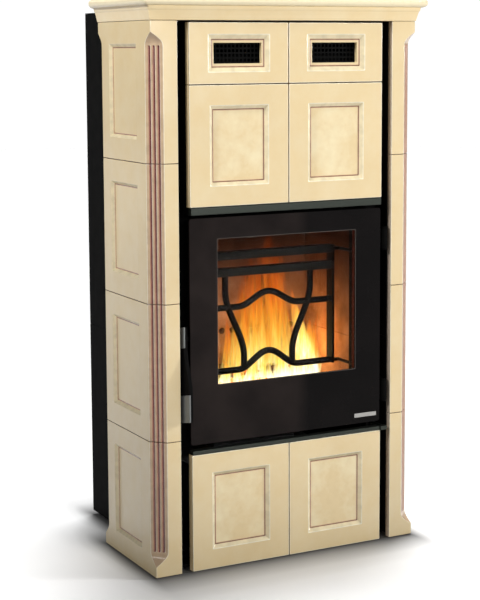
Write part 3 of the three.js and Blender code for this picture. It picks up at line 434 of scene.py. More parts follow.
# painted light: a paler copy of the cream glaze for the cornice
corniceLitCream = creamGlaze("corniceLitGlaze", glaze["corniceLightLift"])
blush = tintedGlaze("blushGlaze", "blush")
hairline = tintedGlaze("brownHairline", "hairline")
thinLipHighlight = tintedGlaze("thinLipHighlightGlaze", "thinLipHighlight")
rose = tintedGlaze("roseGlaze", "rose")
burgundy = tintedGlaze("burgundyGlaze", "burgundy")
slopeHighlightGlaze = tintedGlaze("slopeHighlightGlaze", "slope")
# painted highlight on edges and lips
edgeHighlightGlaze = tintedGlaze("thinEdgeHighlightGlaze", "edge")
# painted shade on the chamfers
chamferShadeGlaze = tintedGlaze("chamferShadeGlaze", "chamfer")
noseHighlightGlaze = tintedGlaze("corniceNoseHighlight", "nose", 0.97)
clay = biscuit()
cloudy = cloudyGlaze()
black = stovePaint()
# painted shade: a darker black so the hinge brackets sink into the dark gap beside the door
hingeShadeBlack = stovePaint("hingePaintedShadeBlack", 0.0012)
iron = castIron()
wroughtIron = castIron("wroughtIron", 0.5, 0.1)
railMetal = brushedMetal("satinGreyRail", (0.042, 0.048, 0.040))
padMetal = brushedMetal("greyHandlePads", (0.21, 0.22, 0.215), 0.6, (60, 60, 4), 0.25)
steel = brushedMetal("sheetSteel", (0.36, 0.37, 0.38), 0.42)
plateMetal = brushedMetal("bareGreyPlate", (0.40, 0.39, 0.37), 0.45, (4, 60, 60))
brick = fireBrick()
rope = ropeSeal()
printed = printedGlass()
printLine = Paint("printedLine", glassLook["line"], 0.2).material
clear = clearGlass()
print("materials made")


# Meshes

def makePiece(name, points, faces, materials, facePaints=None, sharpAngle=38):
    mesh = bpy.data.meshes.new(name)
    mesh.from_pydata([inMetres(point) for point in points], [], faces)
    for material in materials:
        mesh.materials.append(material)
    if facePaints:
        mesh.polygons.foreach_set("material_index", [materials.index(paint) for paint in facePaints])
    tooClose = 0.000004
    work = bmesh.new()
    work.from_mesh(mesh)
    bmesh.ops.remove_doubles(work, verts=work.verts, dist=tooClose)
    bmesh.ops.dissolve_degenerate(work, edges=work.edges, dist=tooClose)
    bmesh.ops.recalc_face_normals(work, faces=work.faces)
    work.to_mesh(mesh)
    work.free()
    mesh.shade_smooth()
    mesh.set_sharp_from_angle(angle=math.radians(sharpAngle))
    obj = newObject(name, mesh)
    obj.modifiers.new("flatFaces", "WEIGHTED_NORMAL").keep_sharp = True
    return obj


def roundedRing(halfWidth, halfHeight, radius, steps=4):
    points = []
    for signX, signZ, start in ((1, 1, 0), (-1, 1, 90), (-1, -1, 180), (1, -1, 270)):
        for step in range(steps + 1):
            angle = math.radians(start + 90 * step / steps)
            points.append((
                signX * (halfWidth - radius) + radius * math.cos(angle),
                signZ * (halfHeight - radius) + radius * math.sin(angle),
            ))
    return points


def compass(sides, across, other):
    # Each angle of a round, with the way that it points
    for side in range(sides):
        angle = 2 * math.pi * side / sides
        yield angle, math.cos(angle) * across + math.sin(angle) * other


def bridged(rings, closed=False):
    # Faces between loops of the same length, with the band of each. Unless the loops close on
    # themselves, the first cap is band -1 and the last cap comes after all bands.
    count = len(rings[0])
    points = [point for ring in rings for point in ring]
    faces = []
    bands = []
    pairs = len(rings) if closed else len(rings) - 1
    for band in range(pairs):
        here = band * count
        there = (band + 1) % len(rings) * count
        for place in range(count):
            after = (place + 1) % count
            faces.append((here + place, here + after, there + after, there + place))
            bands.append(band)
    if not closed:
        faces.append(tuple(range(count)))
        bands.append(-1)
        faces.append(tuple(range((len(rings) - 1) * count, len(rings) * count)))
        bands.append(pairs)
    return points, faces, bands


# Tiles of the middle

middleTiles = {
    "edge": 1.7,
    "panelHalf": (68, 82.5),
    "ventPanelHalf": (71, 38.25),
    "ventHoleHalf": (55.5, 21),
    "ventHoleEdge": [(0.9, 0), (0.25, 0.2), (0, 0.9)],  # (growth, depth below the panel)
    "ventCorner": 1.5,
    "squareBevel": 8,
    "ventBevel": 10,
    "depth": 7,
    "lip": 0.9,
    "lineWidth": 1.1,
    "blushWidth": 1.6,
    "corner": 1.6,
    "backEdge": 0.4,
}


def panelLayers(bevel):
    # (inset from the panel's edge, depth, glaze of the band that ends here)
    lip = middleTiles["lip"]
    depth = middleTiles["depth"]
    line = middleTiles["lineWidth"]
    slope = depth / bevel
    return [
        (-lip, 0, cream),
        (-lip * 0.35, 0.12, edgeHighlightGlaze),
        (lip * 0.3, lip * 0.3 * slope + 0.12, edgeHighlightGlaze),
        (lip, lip * slope, edgeHighlightGlaze),
        (bevel - 1.2, (bevel - 1.2) * slope, slopeHighlightGlaze),
        (bevel - 0.35, depth - 0.45, blush),
        (bevel + 0.25, depth - 0.06, hairline),
        (bevel + line, depth, hairline),
        (bevel + line + middleTiles["blushWidth"], depth, blush),
    ]


def middleTile(node, body, half, bevel, hole=None):
    x0, x1, y0, y1, z0, z1 = nodeBox(node)
    middleX = (x0 + x1) / 2
    middleZ = (z0 + z1) / 2
    width = (x1 - x0) / 2
    height = (z1 - z0) / 2
    edge = middleTiles["edge"]
    back = middleTiles["backEdge"]
    rings = []
    paints = []

    def ring(halfX, halfZ, y, radius, paint):
        rings.append([(middleX + x, y, middleZ + z) for x, z in roundedRing(halfX, halfZ, radius)])
        paints.append(paint)

    ring(width - back, height - back, y1, back * 2, clay)
    ring(width, height, y1 - back, back * 3, clay)
    for step in range(7):
        angle = math.pi / 2 * step / 6
        inset = edge * (1 - math.cos(angle))
        paint = hairline if step in (2, 3) else edgeHighlightGlaze if step > 3 else cream
        ring(width - inset, height - inset, y0 + edge * (1 - math.sin(angle)), edge, paint)
    for inset, depth, paint in panelLayers(bevel):
        ring(half[0] - inset, half[1] - inset, y0 + depth, middleTiles["corner"], paint)
    if hole:
        for grow, sunk in middleTiles["ventHoleEdge"]:
            depth = middleTiles["depth"] + sunk
            ring(hole[0] + grow, hole[1] + grow, y0 + depth, middleTiles["ventCorner"], cream)
        ring(*hole, y1, middleTiles["ventCorner"], cream)
    points, faces, bands = bridged(rings, closed=bool(hole))
    bandPaints = paints[1:] + ([clay] if hole else [cloudy, clay])
    tilePaints = [cream, blush, hairline, clay, slopeHighlightGlaze, edgeHighlightGlaze, cloudy]
    tile = makePiece(node + "_glazed", points, faces, tilePaints, [bandPaints[band] for band in bands])
    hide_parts(node)
    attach(tile, body)


for side in ("left", "right"):
    for place, body in (("upper", "stove_body"), ("lower", "ash_drawer")):
        middleTile(f"{place}_tile_{side}", body, middleTiles["panelHalf"], middleTiles["squareBevel"])
    middleTile(
        f"vent_tile_{side}", "stove_body",
        middleTiles["ventPanelHalf"], middleTiles["ventBevel"], middleTiles["ventHoleHalf"],
    )
print("middle tiles made")


# Pilaster tiles

pilaster = {
    "wall": 14,
    "frontLeg": 28,
    "backLeg": 20,
    "stopMargin": 23,
    "stopHeight": 27,
    "stopSteps": 10,
    "fluteRadius": 3.4,
    "fluteLift": 0.6,
    "flutes": 3,
    # places across a flute, and past the ends of its straight part
    "fluteAcross": (-3.75, -3.35, -2.8, -2.0, -1.2, 0, 1.2, 2.0, 2.8, 3.35, 3.75),
    "fluteEnd": (0, 1.2, 2.1, 2.8, 3.2),
    "fluteReach": 3.1,
    # how far across a flute the pale lip, a painted highlight, and the burgundy glaze go
    "highlightTo": -0.6,
    "burgundyTo": 2.4,
    "panelHalf": (70, 97.5),
    "panelBevel": 7,
    "panelDepth": 7,
    "panelLip": 0.8,
    "lipSteps": (-0.25, 0.3),
    "panelShift": 3,
    "lineWidth": 1.1,
    "blushWidth": 1.5,
    "blushRise": 1.1,
    "mitre": 1.2,
    "edge": 1.3,
    "endLevels": (0, 0.12, 0.5, 0.9),
    "endLine": 0.5,
    "arris": 1.0,
}


def stopShare(z, height, below, above):
    # How much of the chamfer is left at a height, from 0 at the pointed end to 1
    margin = pilaster["stopMargin"]
    rise = pilaster["stopHeight"]
    share = 1.0
    if below:
        share = min(share, (z - margin) / rise)
    if above:
        share = min(share, (height - margin - z) / rise)
    return math.sin(max(0.0, share) * math.pi / 2)


def panelProfile(inside):
    # Depth of the side panel at a distance inside its edge
    lip = pilaster["panelLip"]
    slope = pilaster["panelDepth"] / pilaster["panelBevel"]
    if inside <= -lip:
        return 0.0
    if inside < lip:
        return slope * (inside + lip) ** 2 / (4 * lip)
    return min(pilaster["panelDepth"], slope * inside)


def panelLines(middle, half):
    # Places along one axis where the side panel's shape or glaze changes
    lip = pilaster["panelLip"]
    foot = pilaster["panelBevel"]
    line = foot + pilaster["lineWidth"]
    blushStart = foot - pilaster["blushRise"]
    steps = [-lip, *pilaster["lipSteps"], lip, blushStart, foot, line, line + pilaster["blushWidth"]]
    return [middle - half + step for step in steps] + [middle + half - step for step in steps]


def fluteDepth(across, z, low, high):
    # Depth below the chamfer at a distance across one flute
    beyond = max(0.0, low - z, z - high)
    room = pilaster["fluteRadius"] ** 2 - across ** 2 - beyond ** 2
    return max(0.0, math.sqrt(room) - pilaster["fluteLift"]) if room > 0 else 0.0


def flutePaint(here, there):
    # Burgundy glaze pools in a flute's bottom and spreads up one wall as painted shade; the other lip is a
    # painted highlight, partly glaze running thinner there
    off = (here + there) / 2
    if there < here or abs(off) > pilaster["fluteRadius"]:
        return chamferShadeGlaze
    return thinLipHighlight if off < pilaster["highlightTo"] else burgundy if off < pilaster["burgundyTo"] else rose


def pilasterTile(node, mirror, below, above):
    x0, x1, y0, y1, z0, z1 = nodeBox(node)
    inner, outer = sorted((abs(x0), abs(x1)))
    height = z1 - z0
    depth = y1 - y0
    wall = pilaster["wall"]
    frontLeg = pilaster["frontLeg"]
    backLeg = pilaster["backLeg"]
    arris = pilaster["arris"]
    radius = pilaster["fluteRadius"]
    panelHalf = pilaster["panelHalf"]
    middleY = (frontLeg + depth - backLeg) / 2 + pilaster["panelShift"]
    low = pilaster["stopMargin"] + pilaster["stopHeight"] + radius if below else -radius * 2
    high = height - pilaster["stopMargin"] - pilaster["stopHeight"] - radius if above else height + radius * 2
    slant = math.sqrt(0.5)
    full = frontLeg / slant
    pitch = full / (pilaster["flutes"] + 1)

    # Places across the chamfer: distance from its front arris, and from a flute's middle
    chamfer = [(arris, None)]
    for flute in range(1, pilaster["flutes"] + 1):
        chamfer += [(pitch * flute + across, across) for across in pilaster["fluteAcross"]]
    chamfer.append((full - arris, None))

    panelY = sorted(panelLines(middleY, panelHalf[0]))
    levels = {*pilaster["endLevels"], pilaster["edge"]}
    levels |= {height - level for level in levels}
    levels |= {*panelLines(height / 2, panelHalf[1])}
    steps = pilaster["stopSteps"]
    rises = [pilaster["stopMargin"] + pilaster["stopHeight"] * step / steps for step in range(steps + 1)]
    if below:
        levels |= {*rises, *(low - step for step in pilaster["fluteEnd"])}
    if above:
        levels |= {*(height - rise for rise in rises), *(high + step for step in pilaster["fluteEnd"])}
    levels = sorted(levels)

    rings = []
    edge = pilaster["edge"]
    soft = arris * 0.6
    innerLeg = frontLeg + wall / slant - wall * 2
    sign = -1 if mirror else 1
    for z in levels:
        share = stopShare(z, height, below, above)
        leg = max(frontLeg * share, arris)
        rearLeg = max(backLeg * share, arris)
        fromEnd = min(z, height - z)
        inset = edge - math.sqrt(max(0.0, edge ** 2 - (edge - min(fromEnd, edge)) ** 2))
        ring = [
            (inner + inset, arris),
            (inner + 0.3 + inset, 0.3 + inset),
            (inner + arris, inset),
            (outer - leg - soft, inset),
        ]
        for place, across in chamfer:
            along = place / full * leg
            sunk = fluteDepth(across, z, low, high) if across is not None and share > 0.999 else 0.0
            sunk += inset
            ring.append((outer - leg + along - sunk * slant, along + sunk * slant))
        ring.append((outer - inset, leg + soft))
        for y in panelY:
            inside = min(panelHalf[0] - abs(y - middleY), panelHalf[1] - abs(z - height / 2))
            ring.append((outer - panelProfile(inside) - inset, y))
        ring += [
            (outer - inset, depth - rearLeg - soft),
            (outer - soft - inset, depth - rearLeg),
            (outer - rearLeg, depth - soft - inset),
            (outer - rearLeg - soft, depth - inset),
            (inner + arris, depth - inset),
            (inner + 0.3 + inset, depth - 0.3 - inset),
            (inner + inset, depth - arris),
        ]
        glazedCount = len(ring)
        ring += [
            (inner + inset, depth - wall),
            (outer - wall - innerLeg, depth - wall),
            (outer - wall, depth - wall - innerLeg),
            (outer - wall, wall + innerLeg),
            (outer - wall - innerLeg, wall),
            (inner + inset, wall),
        ]
        rings.append([(sign * x, y0 + y, z0 + z) for x, y in ring])

    points, faces, bands = bridged(rings)
    count = len(rings[0])
    firstFlute = 4
    lastFlute = firstFlute + len(chamfer) - 1
    firstPanel = lastFlute + 2
    foot = pilaster["panelBevel"]
    line = foot + pilaster["lineWidth"]
    blushStart = foot - pilaster["blushRise"]
    reach = pilaster["fluteReach"]
    made = []
    paints = []
    for face, band in zip(faces, bands):
        place = face[0] - band * count
        z = (levels[band] + levels[(band + 1) % len(levels)]) / 2
        paint = cream
        pieces = [face]
        if band < 0 or band >= len(levels) - 1 or place >= glazedCount - 1:
            paint = clay
        elif min(z, height - z) < pilaster["endLine"]:
            paint = hairline
        elif firstFlute <= place < lastFlute:
            here = chamfer[place - firstFlute][1]
            there = chamfer[place - firstFlute + 1][1]
            if low - reach < z < high + reach and None not in (here, there):
                paint = flutePaint(here, there)
            elif stopShare(z, height, below, above) > 0:
                paint = chamferShadeGlaze
        elif place in (0, 1, firstFlute - 1, lastFlute):
            paint = edgeHighlightGlaze
        elif firstPanel <= place < firstPanel + len(panelY) - 1:
            y = (panelY[place - firstPanel] + panelY[place - firstPanel + 1]) / 2
            insideY = panelHalf[0] - abs(y - middleY)
            insideZ = panelHalf[1] - abs(z - height / 2)
            inside = min(insideY, insideZ)
            if foot < inside < line:
                paint = hairline
            elif blushStart < inside < line + pilaster["blushWidth"]:
                paint = blush
            elif -0.3 < inside < blushStart:
                paint = slopeHighlightGlaze
            # A bent face on a mitre is split along it
            a, b, c, d = face
            across = abs(points[a][0] - points[c][0])
            back = abs(points[b][0] - points[d][0])
            onMitre = abs(insideY - insideZ) < pilaster["mitre"] and inside > -0.9
            if onMitre and across + back > 0.01:
                pieces = [(a, b, c), (a, c, d)] if across > back else [(a, b, d), (b, c, d)]
        made += pieces
        paints += [paint] * len(pieces)
    materials = [cream, blush, rose, burgundy, clay, hairline, thinLipHighlight, chamferShadeGlaze, slopeHighlightGlaze, edgeHighlightGlaze]
    tile = makePiece(node + "_glazed", points, made, materials, paints)
    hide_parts(node)
    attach(tile, "stove_body")


for course in range(1, 5):
    for side in ("left", "right"):
        pilasterTile(f"pilaster_{side}_{course}", side == "left", course == 1, course == 4)
print("pilaster tiles made")


# Cornice

cornice = {
    "rimWidth": 14,
    # (projection, height) up to the bullnose
    "profile": [
        (0.5, 0), (1.2, 0.25), (1.6, 0.9), (2.6, 5), (4.2, 12), (6.2, 19), (6.5, 20),
        (7.6, 21.2), (8.4, 23), (8.9, 26), (9.5, 28.6),
    ],
    "noseRadius": 9.5,
    "noseReach": 21,
    "noseMiddle": 38.5,
    "noseSteps": 16,
    "noseHighlighted": (2, 13),  # the steps of the nose painted paler as a highlight, where its glaze also runs thinner
    "hollowTop": 34,
    "corner": 1.5,
    "cornerGrowth": 0.18,
}


def corniceRing(left, right, front, back, radius, z):
    # A rectangle in plan with its two front corners rounded
    halves = []
    steps = 4
    for side, sign in ((left, -1), (right, 1)):
        half = []
        for step in range(steps + 1):
            angle = math.radians(270 + sign * 90 * step / steps)
            x = side - sign * radius + radius * math.cos(angle)
            half.append((x, front + radius + radius * math.sin(angle), z))
        halves.append(half + [(side, back - 1, z), (side - sign, back, z)])
    return halves[0][::-1] + halves[1]


def makeCornice():
    _, right, _, back, bottom, _ = nodeBox("cornice")
    half = right - cornice["noseReach"]
    steps = cornice["noseSteps"]
    profile = list(cornice["profile"])
    for step in range(1, steps + 1):
        angle = -math.pi / 2 + math.pi * step / steps
        profile.append((
            cornice["noseReach"] - cornice["noseRadius"] * (1 - math.cos(angle)),
            cornice["noseMiddle"] + cornice["noseRadius"] * math.sin(angle),
        ))
    rim = cornice["rimWidth"]
    corner = cornice["corner"]
    rings = []
    for z in (cornice["hollowTop"], 0):
        rings.append(corniceRing(-half + rim, half - rim, rim, back - rim, corner, bottom + z))
    for reach, z in profile:
        radius = corner + reach * cornice["cornerGrowth"]
        rings.append(corniceRing(-half - reach, half + reach, -reach, back, radius, bottom + z))
    points, faces, bands = bridged(rings)
    noseStart = len(rings) - steps - 1
    low, high = cornice["noseHighlighted"]
    nose = range(noseStart + low, noseStart + high)
    paints = [clay if band < 2 else noseHighlightGlaze if band in nose else corniceLitCream for band in bands]
    piece = makePiece("cornice_glazed", points, faces, [corniceLitCream, clay, noseHighlightGlaze], paints)
    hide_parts("cornice")
    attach(piece, "stove_body")


makeCornice()
print("cornice made")


# Door glass

doorGlass = {
    "windowHalf": 167.5,
    "windowBottom": 396,
    "windowTop": 702,
    "corner": 5,
    "windowCorner": 3,
    "lineWidth": 1.0,
    "edge": 0.7,
    "edgeNear": 0.2,
}


def windowSpan():
    # The window's middle height and half its height
    low = doorGlass["windowBottom"]
    high = doorGlass["windowTop"]
    return (high + low) / 2, (high - low) / 2


def makeGlass():
    _, right, front, back, low, high = nodeBox("door_glass")
    middle = (low + high) / 2
    half = (high - low) / 2
    edge = doorGlass["edge"]
    near = doorGlass["edgeNear"]
    corner = doorGlass["corner"]
    windowMiddle, windowHalf = windowSpan()

    def outline(inset, y, radius):
        return [(x, y, middle + z) for x, z in roundedRing(right - inset, half - inset, radius, 5)]

    def window(grow, y):
        ring = roundedRing(doorGlass["windowHalf"] + grow, windowHalf + grow, doorGlass["windowCorner"], 5)
        return [(x, y, windowMiddle + z) for x, z in ring]

    edges = [(edge, 0, corner - edge), (near, near, corner), (0, edge, corner)]
    rings = [window(0, back)]
    rings += [outline(inset, back - depth, radius) for inset, depth, radius in edges]
    rings += [outline(inset, front + depth, radius) for inset, depth, radius in reversed(edges)]
    rings += [window(doorGlass["lineWidth"], front), window(0, front)]
    points, faces, bands = bridged(rings)
    bandPaints = {-1: clear, 7: printLine, 8: clear}
    paints = [bandPaints.get(band, printed) for band in bands]
    pane = makePiece("door_glass_printed", points, faces, [printed, clear, printLine], paints)
    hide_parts("door_glass")
    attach(pane, "door")


makeGlass()
print("door glass made")


# Log guard

logGuard = {
    "half": 164,
    "bottom": 395,
    "top": 661,
    "front": 85,
    "back": 111,
    "overlap": 1,
    "side": 6,
    "bar": 17,
    "barZ": (644, 608),
    "rod": 7,
    "rodY": 8,
    "edge": 1.2,
    "waves": ((540, 29), (402, 36)),
    "waveHalf": 74,
    "uprightFoot": 60,
    "uprightTop": 105,
    "bendStart": 0.13,
    "bendLength": 0.65,
    "rodSides": 16,
    "studX": 176,
    "studZ": (652.5, 402),
    "studStart": 24.6,
    "studRadius": 3.5,
}


class Shells:
    # Several closed forms gathered into one mesh
    def __init__(self):
        self.points = []
        self.faces = []

    def add(self, points, faces):
        first = len(self.points)
        self.points += points
        self.faces += [tuple(first + place for place in face) for face in faces]

    def bar(self, x0, x1, y0, y1, z0, z1, edge):
        # A flat bar with rounded long edges, standing or lying
        rings = []
        near = edge * 0.3
        front = [(edge, y0), (near, y0 + near), (0, y0 + edge)]
        back = [(0, y1 - edge), (near, y1 - near), (edge, y1)]
        for inset, y in front + back:
            outline = roundedRing((x1 - x0) / 2 - inset, (z1 - z0) / 2 - inset, edge, 2)
            rings.append([((x0 + x1) / 2 + x, y, (z0 + z1) / 2 + z) for x, z in outline])
        self.add(*bridged(rings)[:2])

    def tube(self, path, radius, sides=14):
        rings = []
        path = [Vector(point) for point in path]
        guide = Vector((0, 1, 0))
        for place, point in enumerate(path):
            ahead = path[min(place + 1, len(path) - 1)]
            behind = path[max(place - 1, 0)]
            along = (ahead - behind).normalized()
            if abs(along.dot(guide)) > 0.95:
                guide = Vector((1, 0, 0))
            across = along.cross(guide).normalized()
            other = across.cross(along).normalized()
            rings.append([tuple(point + radius * way) for _, way in compass(sides, across, other)])
        self.add(*bridged(rings)[:2])


def makeGuard():
    front = logGuard["front"]
    back = logGuard["back"]
    half = logGuard["half"]
    edge = logGuard["edge"]
    overlap = logGuard["overlap"]
    studX = logGuard["studX"]
    stud = logGuard["studRadius"]
    shells = Shells()
    for sign in (-1, 1):
        left, right = sorted((sign * half, sign * (half - logGuard["side"])))
        shells.bar(left, right, front, back, logGuard["bottom"], logGuard["top"], edge)
        left, right = sorted((sign * studX, sign * (half - overlap)))
        for z in logGuard["studZ"]:
            shells.tube([(sign * studX, logGuard["studStart"], z), (sign * studX, front + stud * 2, z)], stud)
            shells.bar(left, right, front, front + stud * 2, z - stud, z + stud, edge)
    for z in logGuard["barZ"]:
        shells.bar(-half + overlap, half - overlap, front, back, z, z + logGuard["bar"], edge)
    middleY = front + logGuard["rodY"]
    radius = logGuard["rod"]
    sides = logGuard["rodSides"]
    steps = 80
    for height, rise in logGuard["waves"]:
        path = []
        for step in range(steps + 1):
            x = (2 * step / steps - 1) * (half - 2 * overlap)
            near = min(abs(x) / logGuard["waveHalf"], 1)
            path.append((x, middleY, height + rise * math.cos(near * math.pi / 2) ** 2))
        shells.tube(path, radius, sides)
    low = logGuard["waves"][1][0] + overlap
    high = logGuard["barZ"][1] + logGuard["bar"] - overlap
    foot = logGuard["uprightFoot"]
    steps = 40
    for sign in (-1, 1):
        path = []
        for step in range(steps + 1):
            share = step / steps
            turn = min(max((share - logGuard["bendStart"]) / logGuard["bendLength"], 0), 1)
            ease = turn * turn * (3 - 2 * turn)
            x = foot + (logGuard["uprightTop"] - foot) * ease
            path.append((sign * x, middleY, low + (high - low) * share))
        shells.tube(path, radius, sides)
    guard = makePiece("log_guard_bars", shells.points, shells.faces, [wroughtIron])
    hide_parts("log_guard")
    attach(guard, "door")


makeGuard()
print("log guard made")


# Pieces kept as the CAD made them, with softened edges

softEdges = {
    "weldWithin": 0.00001,
    "flatAngle": 1,  # degrees below which neighbouring faces are one
    "cornerAngle": 40,  # degrees above which an edge is softened
    "segments": 2,
    # material, width of the edge in metres, slot, and the pieces that have them
    "pieces": [
        (hingeShadeBlack, 0.0004, "black_paint", ["hinge_bracket_lower", "hinge_bracket_upper"]),
        (black, 0.0004, "black_paint", [
            "base_plate", "foot_front_left", "foot_front_right", "foot_rear_left", "foot_rear_right",
            "casing_lower_left", "casing_lower_right", "casing_upper_left", "casing_upper_right",
            "casing_back", "casing_top", "front_frame", "vent_grille_left", "vent_grille_right",
            "drawer_front", "drawer_tray",
        ]),
        (iron, 0.0007, "cast_iron", ["firebox_shell", "smoke_box", "flue_collar", "fire_grate"]),
        (steel, 0.0004, "bare_steel", [
            "air_inlet", "ash_chute", "latch_catch", "ash_pan", "drawer_runner_left", "drawer_runner_right",
        ]),
        (brick, 0.0014, "fire_brick", [
            "brick_left", "brick_right", "brick_back_lower", "brick_back_upper", "brick_floor",
            "baffle_plate",
        ]),
        (doorIron(), 0.0007, "cast_iron", ["door_frame"]),
        (rope, 0.003, "rope_seal", ["door_gasket"]),
        (railMetal, 0.0006, "grey_metal", ["upper_rail", "drawer_rail"]),
        (railMetal, 0.001, "grey_metal", ["air_lever"]),
        (black, 0.0014, "black_paint", ["handle_arm"]),
        (padMetal, 0.0016, "grey_metal", ["handle_cap", "handle_grip"]),
        (plateMetal, 0.0003, "bare_steel", ["plain_plate"]),
    ],
}


def dress(node, material, width):
    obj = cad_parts[node]
    obj.data.materials.clear()
    obj.data.materials.append(material)
    obj.data.shade_smooth()
    obj.modifiers.new("weld", "WELD").merge_threshold = softEdges["weldWithin"]
    flat = obj.modifiers.new("flatFaces", "DECIMATE")
    flat.decimate_type = "DISSOLVE"
    flat.angle_limit = math.radians(softEdges["flatAngle"])
    soft = obj.modifiers.new("softEdges", "BEVEL")
    soft.width = width
    soft.segments = softEdges["segments"]
    soft.limit_method = "ANGLE"
    soft.angle_limit = math.radians(softEdges["cornerAngle"])
    soft.use_clamp_overlap = True
    obj.modifiers.new("evenShade", "WEIGHTED_NORMAL")


for material, width, slotName, nodes in softEdges["pieces"]:
    for node in nodes:
        dress(node, material, width)
print("metal and brick pieces dressed")


# Fire

fire = {
    "seed": 7,
    "glowColour": (1.0, 0.38, 0.08),
    # name, place, power, size of the hidden lights
    "glows": [
        ("bedGlow", (0, 190, 385), 0.62, 0.03),
        ("middleGlow", (80, 225, 455), 0.30, 0.04),
        ("rightGlow", (160, 185, 420), 0.55, 0.03),
    ],
    # heat shift, brightness, how solid, streak contrast
    "heats": {
        "faint": (0.0, 1.15, 0.85, (0.40, 0.60)),
        "warm": (0.10, 1.4, 0.95, (0.41, 0.55)),
        "hot": (0.30, 1.9, 1.0, (0.34, 0.50)),
    },
    "sides": 20,
    "steps": 26,
    "taper": 0.75,
    "sway": (4, 12),
    "flatness": 0.42,
    "ripple": 0.1,
    "swellEnd": 0.3,  # share of the height where a tongue is widest
    "footWidth": 0.62,
    "footHeat": 0.30,
    "cooling": -0.75,
    "streakHeat": 0.95,
    # heat, foot z, and each tongue of it as (x, y, height, half width, lean)
    "tongues": [
        ("faint", 343, [
            (66, 258, 330, 104, 26), (26, 250, 290, 66, 22), (104, 240, 315, 56, 0), (70, 232, 300, 40, 26),
        ]),
        ("warm", 343, [
            (40, 225, 235, 34, 6), (78, 228, 225, 30, 12), (4, 220, 190, 24, 8), (106, 222, 215, 24, -2),
        ]),
        ("hot", 343, [
            (148, 190, 215, 30, -30), (156, 178, 140, 28, -8), (122, 184, 105, 26, 8),
        ]),
        ("warm", 343, [
            (180, 200, 150, 20, 2), (-24, 212, 150, 20, 10), (-48, 205, 165, 17, 6), (-74, 208, 140, 17, 0),
            (-104, 218, 115, 24, -6), (-142, 228, 90, 30, -4),
        ]),
        ("hot", 340, [
            (72, 168, 92, 30, 8), (36, 165, 84, 26, -4), (0, 168, 76, 26, 4), (-34, 165, 66, 24, 4),
            (-66, 170, 70, 22, -4), (-98, 172, 56, 24, 2), (102, 160, 88, 28, 4), (138, 158, 80, 28, 4),
        ]),
    ],
}


def flamePaint(heatName):
    shift, brightness, solid, (low, high) = fire["heats"][heatName]
    paint = Paint(f"{heatName}Flame", (0.0, 0.0, 0.0), 1.0, specular=0.0)
    up = paint.along("Y", "UV")
    streaks = paint.noise(9, 5.0, 0.62, (15, 6, 0.9))
    heat = paint.maths("MULTIPLY_ADD", up, fire["cooling"], fire["footHeat"] + shift)
    heat = paint.maths("MULTIPLY_ADD", streaks, fire["streakHeat"], heat)
    colour = paint.ramp(heat, [
        (0.0, (0.45, 0.045, 0.004)), (0.26, (0.88, 0.17, 0.012)), (0.5, (1.0, 0.40, 0.035)),
        (0.7, (1.0, 0.74, 0.14)), (0.92, (1.0, 0.98, 0.72)),
    ])
    paint.glow(colour, brightness)
    # Thin at the sides and the tip, and torn into wisps
    around = paint.maths("MULTIPLY", paint.along("X", "UV"), 2 * math.pi)
    edge = paint.maths("POWER", paint.maths("ABSOLUTE", paint.maths("SINE", around)), 1.3)
    wisps = paint.ramp(paint.noise(11, 6.0, 0.66, (13, 6, 0.9)), [(low, (0, 0, 0)), (high, (1, 1, 1))])
    fade = paint.maths("POWER", paint.maths("SUBTRACT", 1.0, up), 0.8)
    alpha = paint.maths("MULTIPLY", paint.maths("MULTIPLY", edge, fade), wisps)
    paint.set("Alpha", paint.maths("MULTIPLY", alpha, solid))
    return paint.material


def flameTongue(number, z, x, y, height, width, lean, material, chance):
    rings = []
    sides = fire["sides"]
    steps = fire["steps"]
    foot = fire["footWidth"]
    sway = chance.uniform(*fire["sway"])
    phase = chance.uniform(0, 6.28)
    for step in range(steps + 1):
        share = step / steps
        swell = math.sin(min(share / fire["swellEnd"], 1) * math.pi / 2)
        half = max(width * (foot + (1 - foot) * swell) * (1 - share) ** fire["taper"], 0.4)
        centreX = x + lean * share + sway * share * math.sin(phase + share * 5.5)
        centreY = y + 5 * share * math.cos(phase + share * 4)
        centre = Vector((centreX, centreY, z + height * share))
        ring = []
        for angle, way in compass(sides, Vector((1, 0, 0)), Vector((0, fire["flatness"], 0))):
            ripple = 1 + fire["ripple"] * math.sin(3 * angle + share * 9 + phase)
            ring.append(tuple(centre + half * ripple * way))
        rings.append(ring)
    points, faces, _ = bridged(rings)
    name = f"flame_{number}"
    mesh = bpy.data.meshes.new(name)
    mesh.from_pydata([inMetres(point) for point in points], [], faces)
    mesh.materials.append(material)
    layer = mesh.uv_layers.new(name="around")
    for face in mesh.polygons:
        places = [mesh.loops[loop].vertex_index for loop in face.loop_indices]
        wraps = {place % sides for place in places} >= {0, sides - 1}
        for loop, place in zip(face.loop_indices, places):
            turn = place % sides
            if wraps and turn == 0 and len(places) == 4:
                turn = sides
            layer.data[loop].uv = (turn / sides, place // sides / steps)
    mesh.shade_smooth()
    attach(newObject(name, mesh), "stove_body")


def barkPaint():
    paint = Paint("charredBark", (0.05, 0.03, 0.02), 0.95, specular=0.1)
    grain = paint.noise(30, 6.0, 0.65, (0.6, 4, 4))
    tones = [(0.35, (0.02, 0.014, 0.011)), (0.6, (0.10, 0.055, 0.03)), (0.8, (0.2, 0.12, 0.07))]
    sparks = [(0.55, (0, 0, 0)), (0.68, (1.0, 0.18, 0.01)), (0.8, (1.0, 0.55, 0.08))]
    paint.glow(paint.ramp(paint.noise(55, 5.0, 0.6), sparks), 1.4)
    paint.bumps(grain, 1.0, 0.004)
    return paint.coloured(paint.ramp(grain, tones))


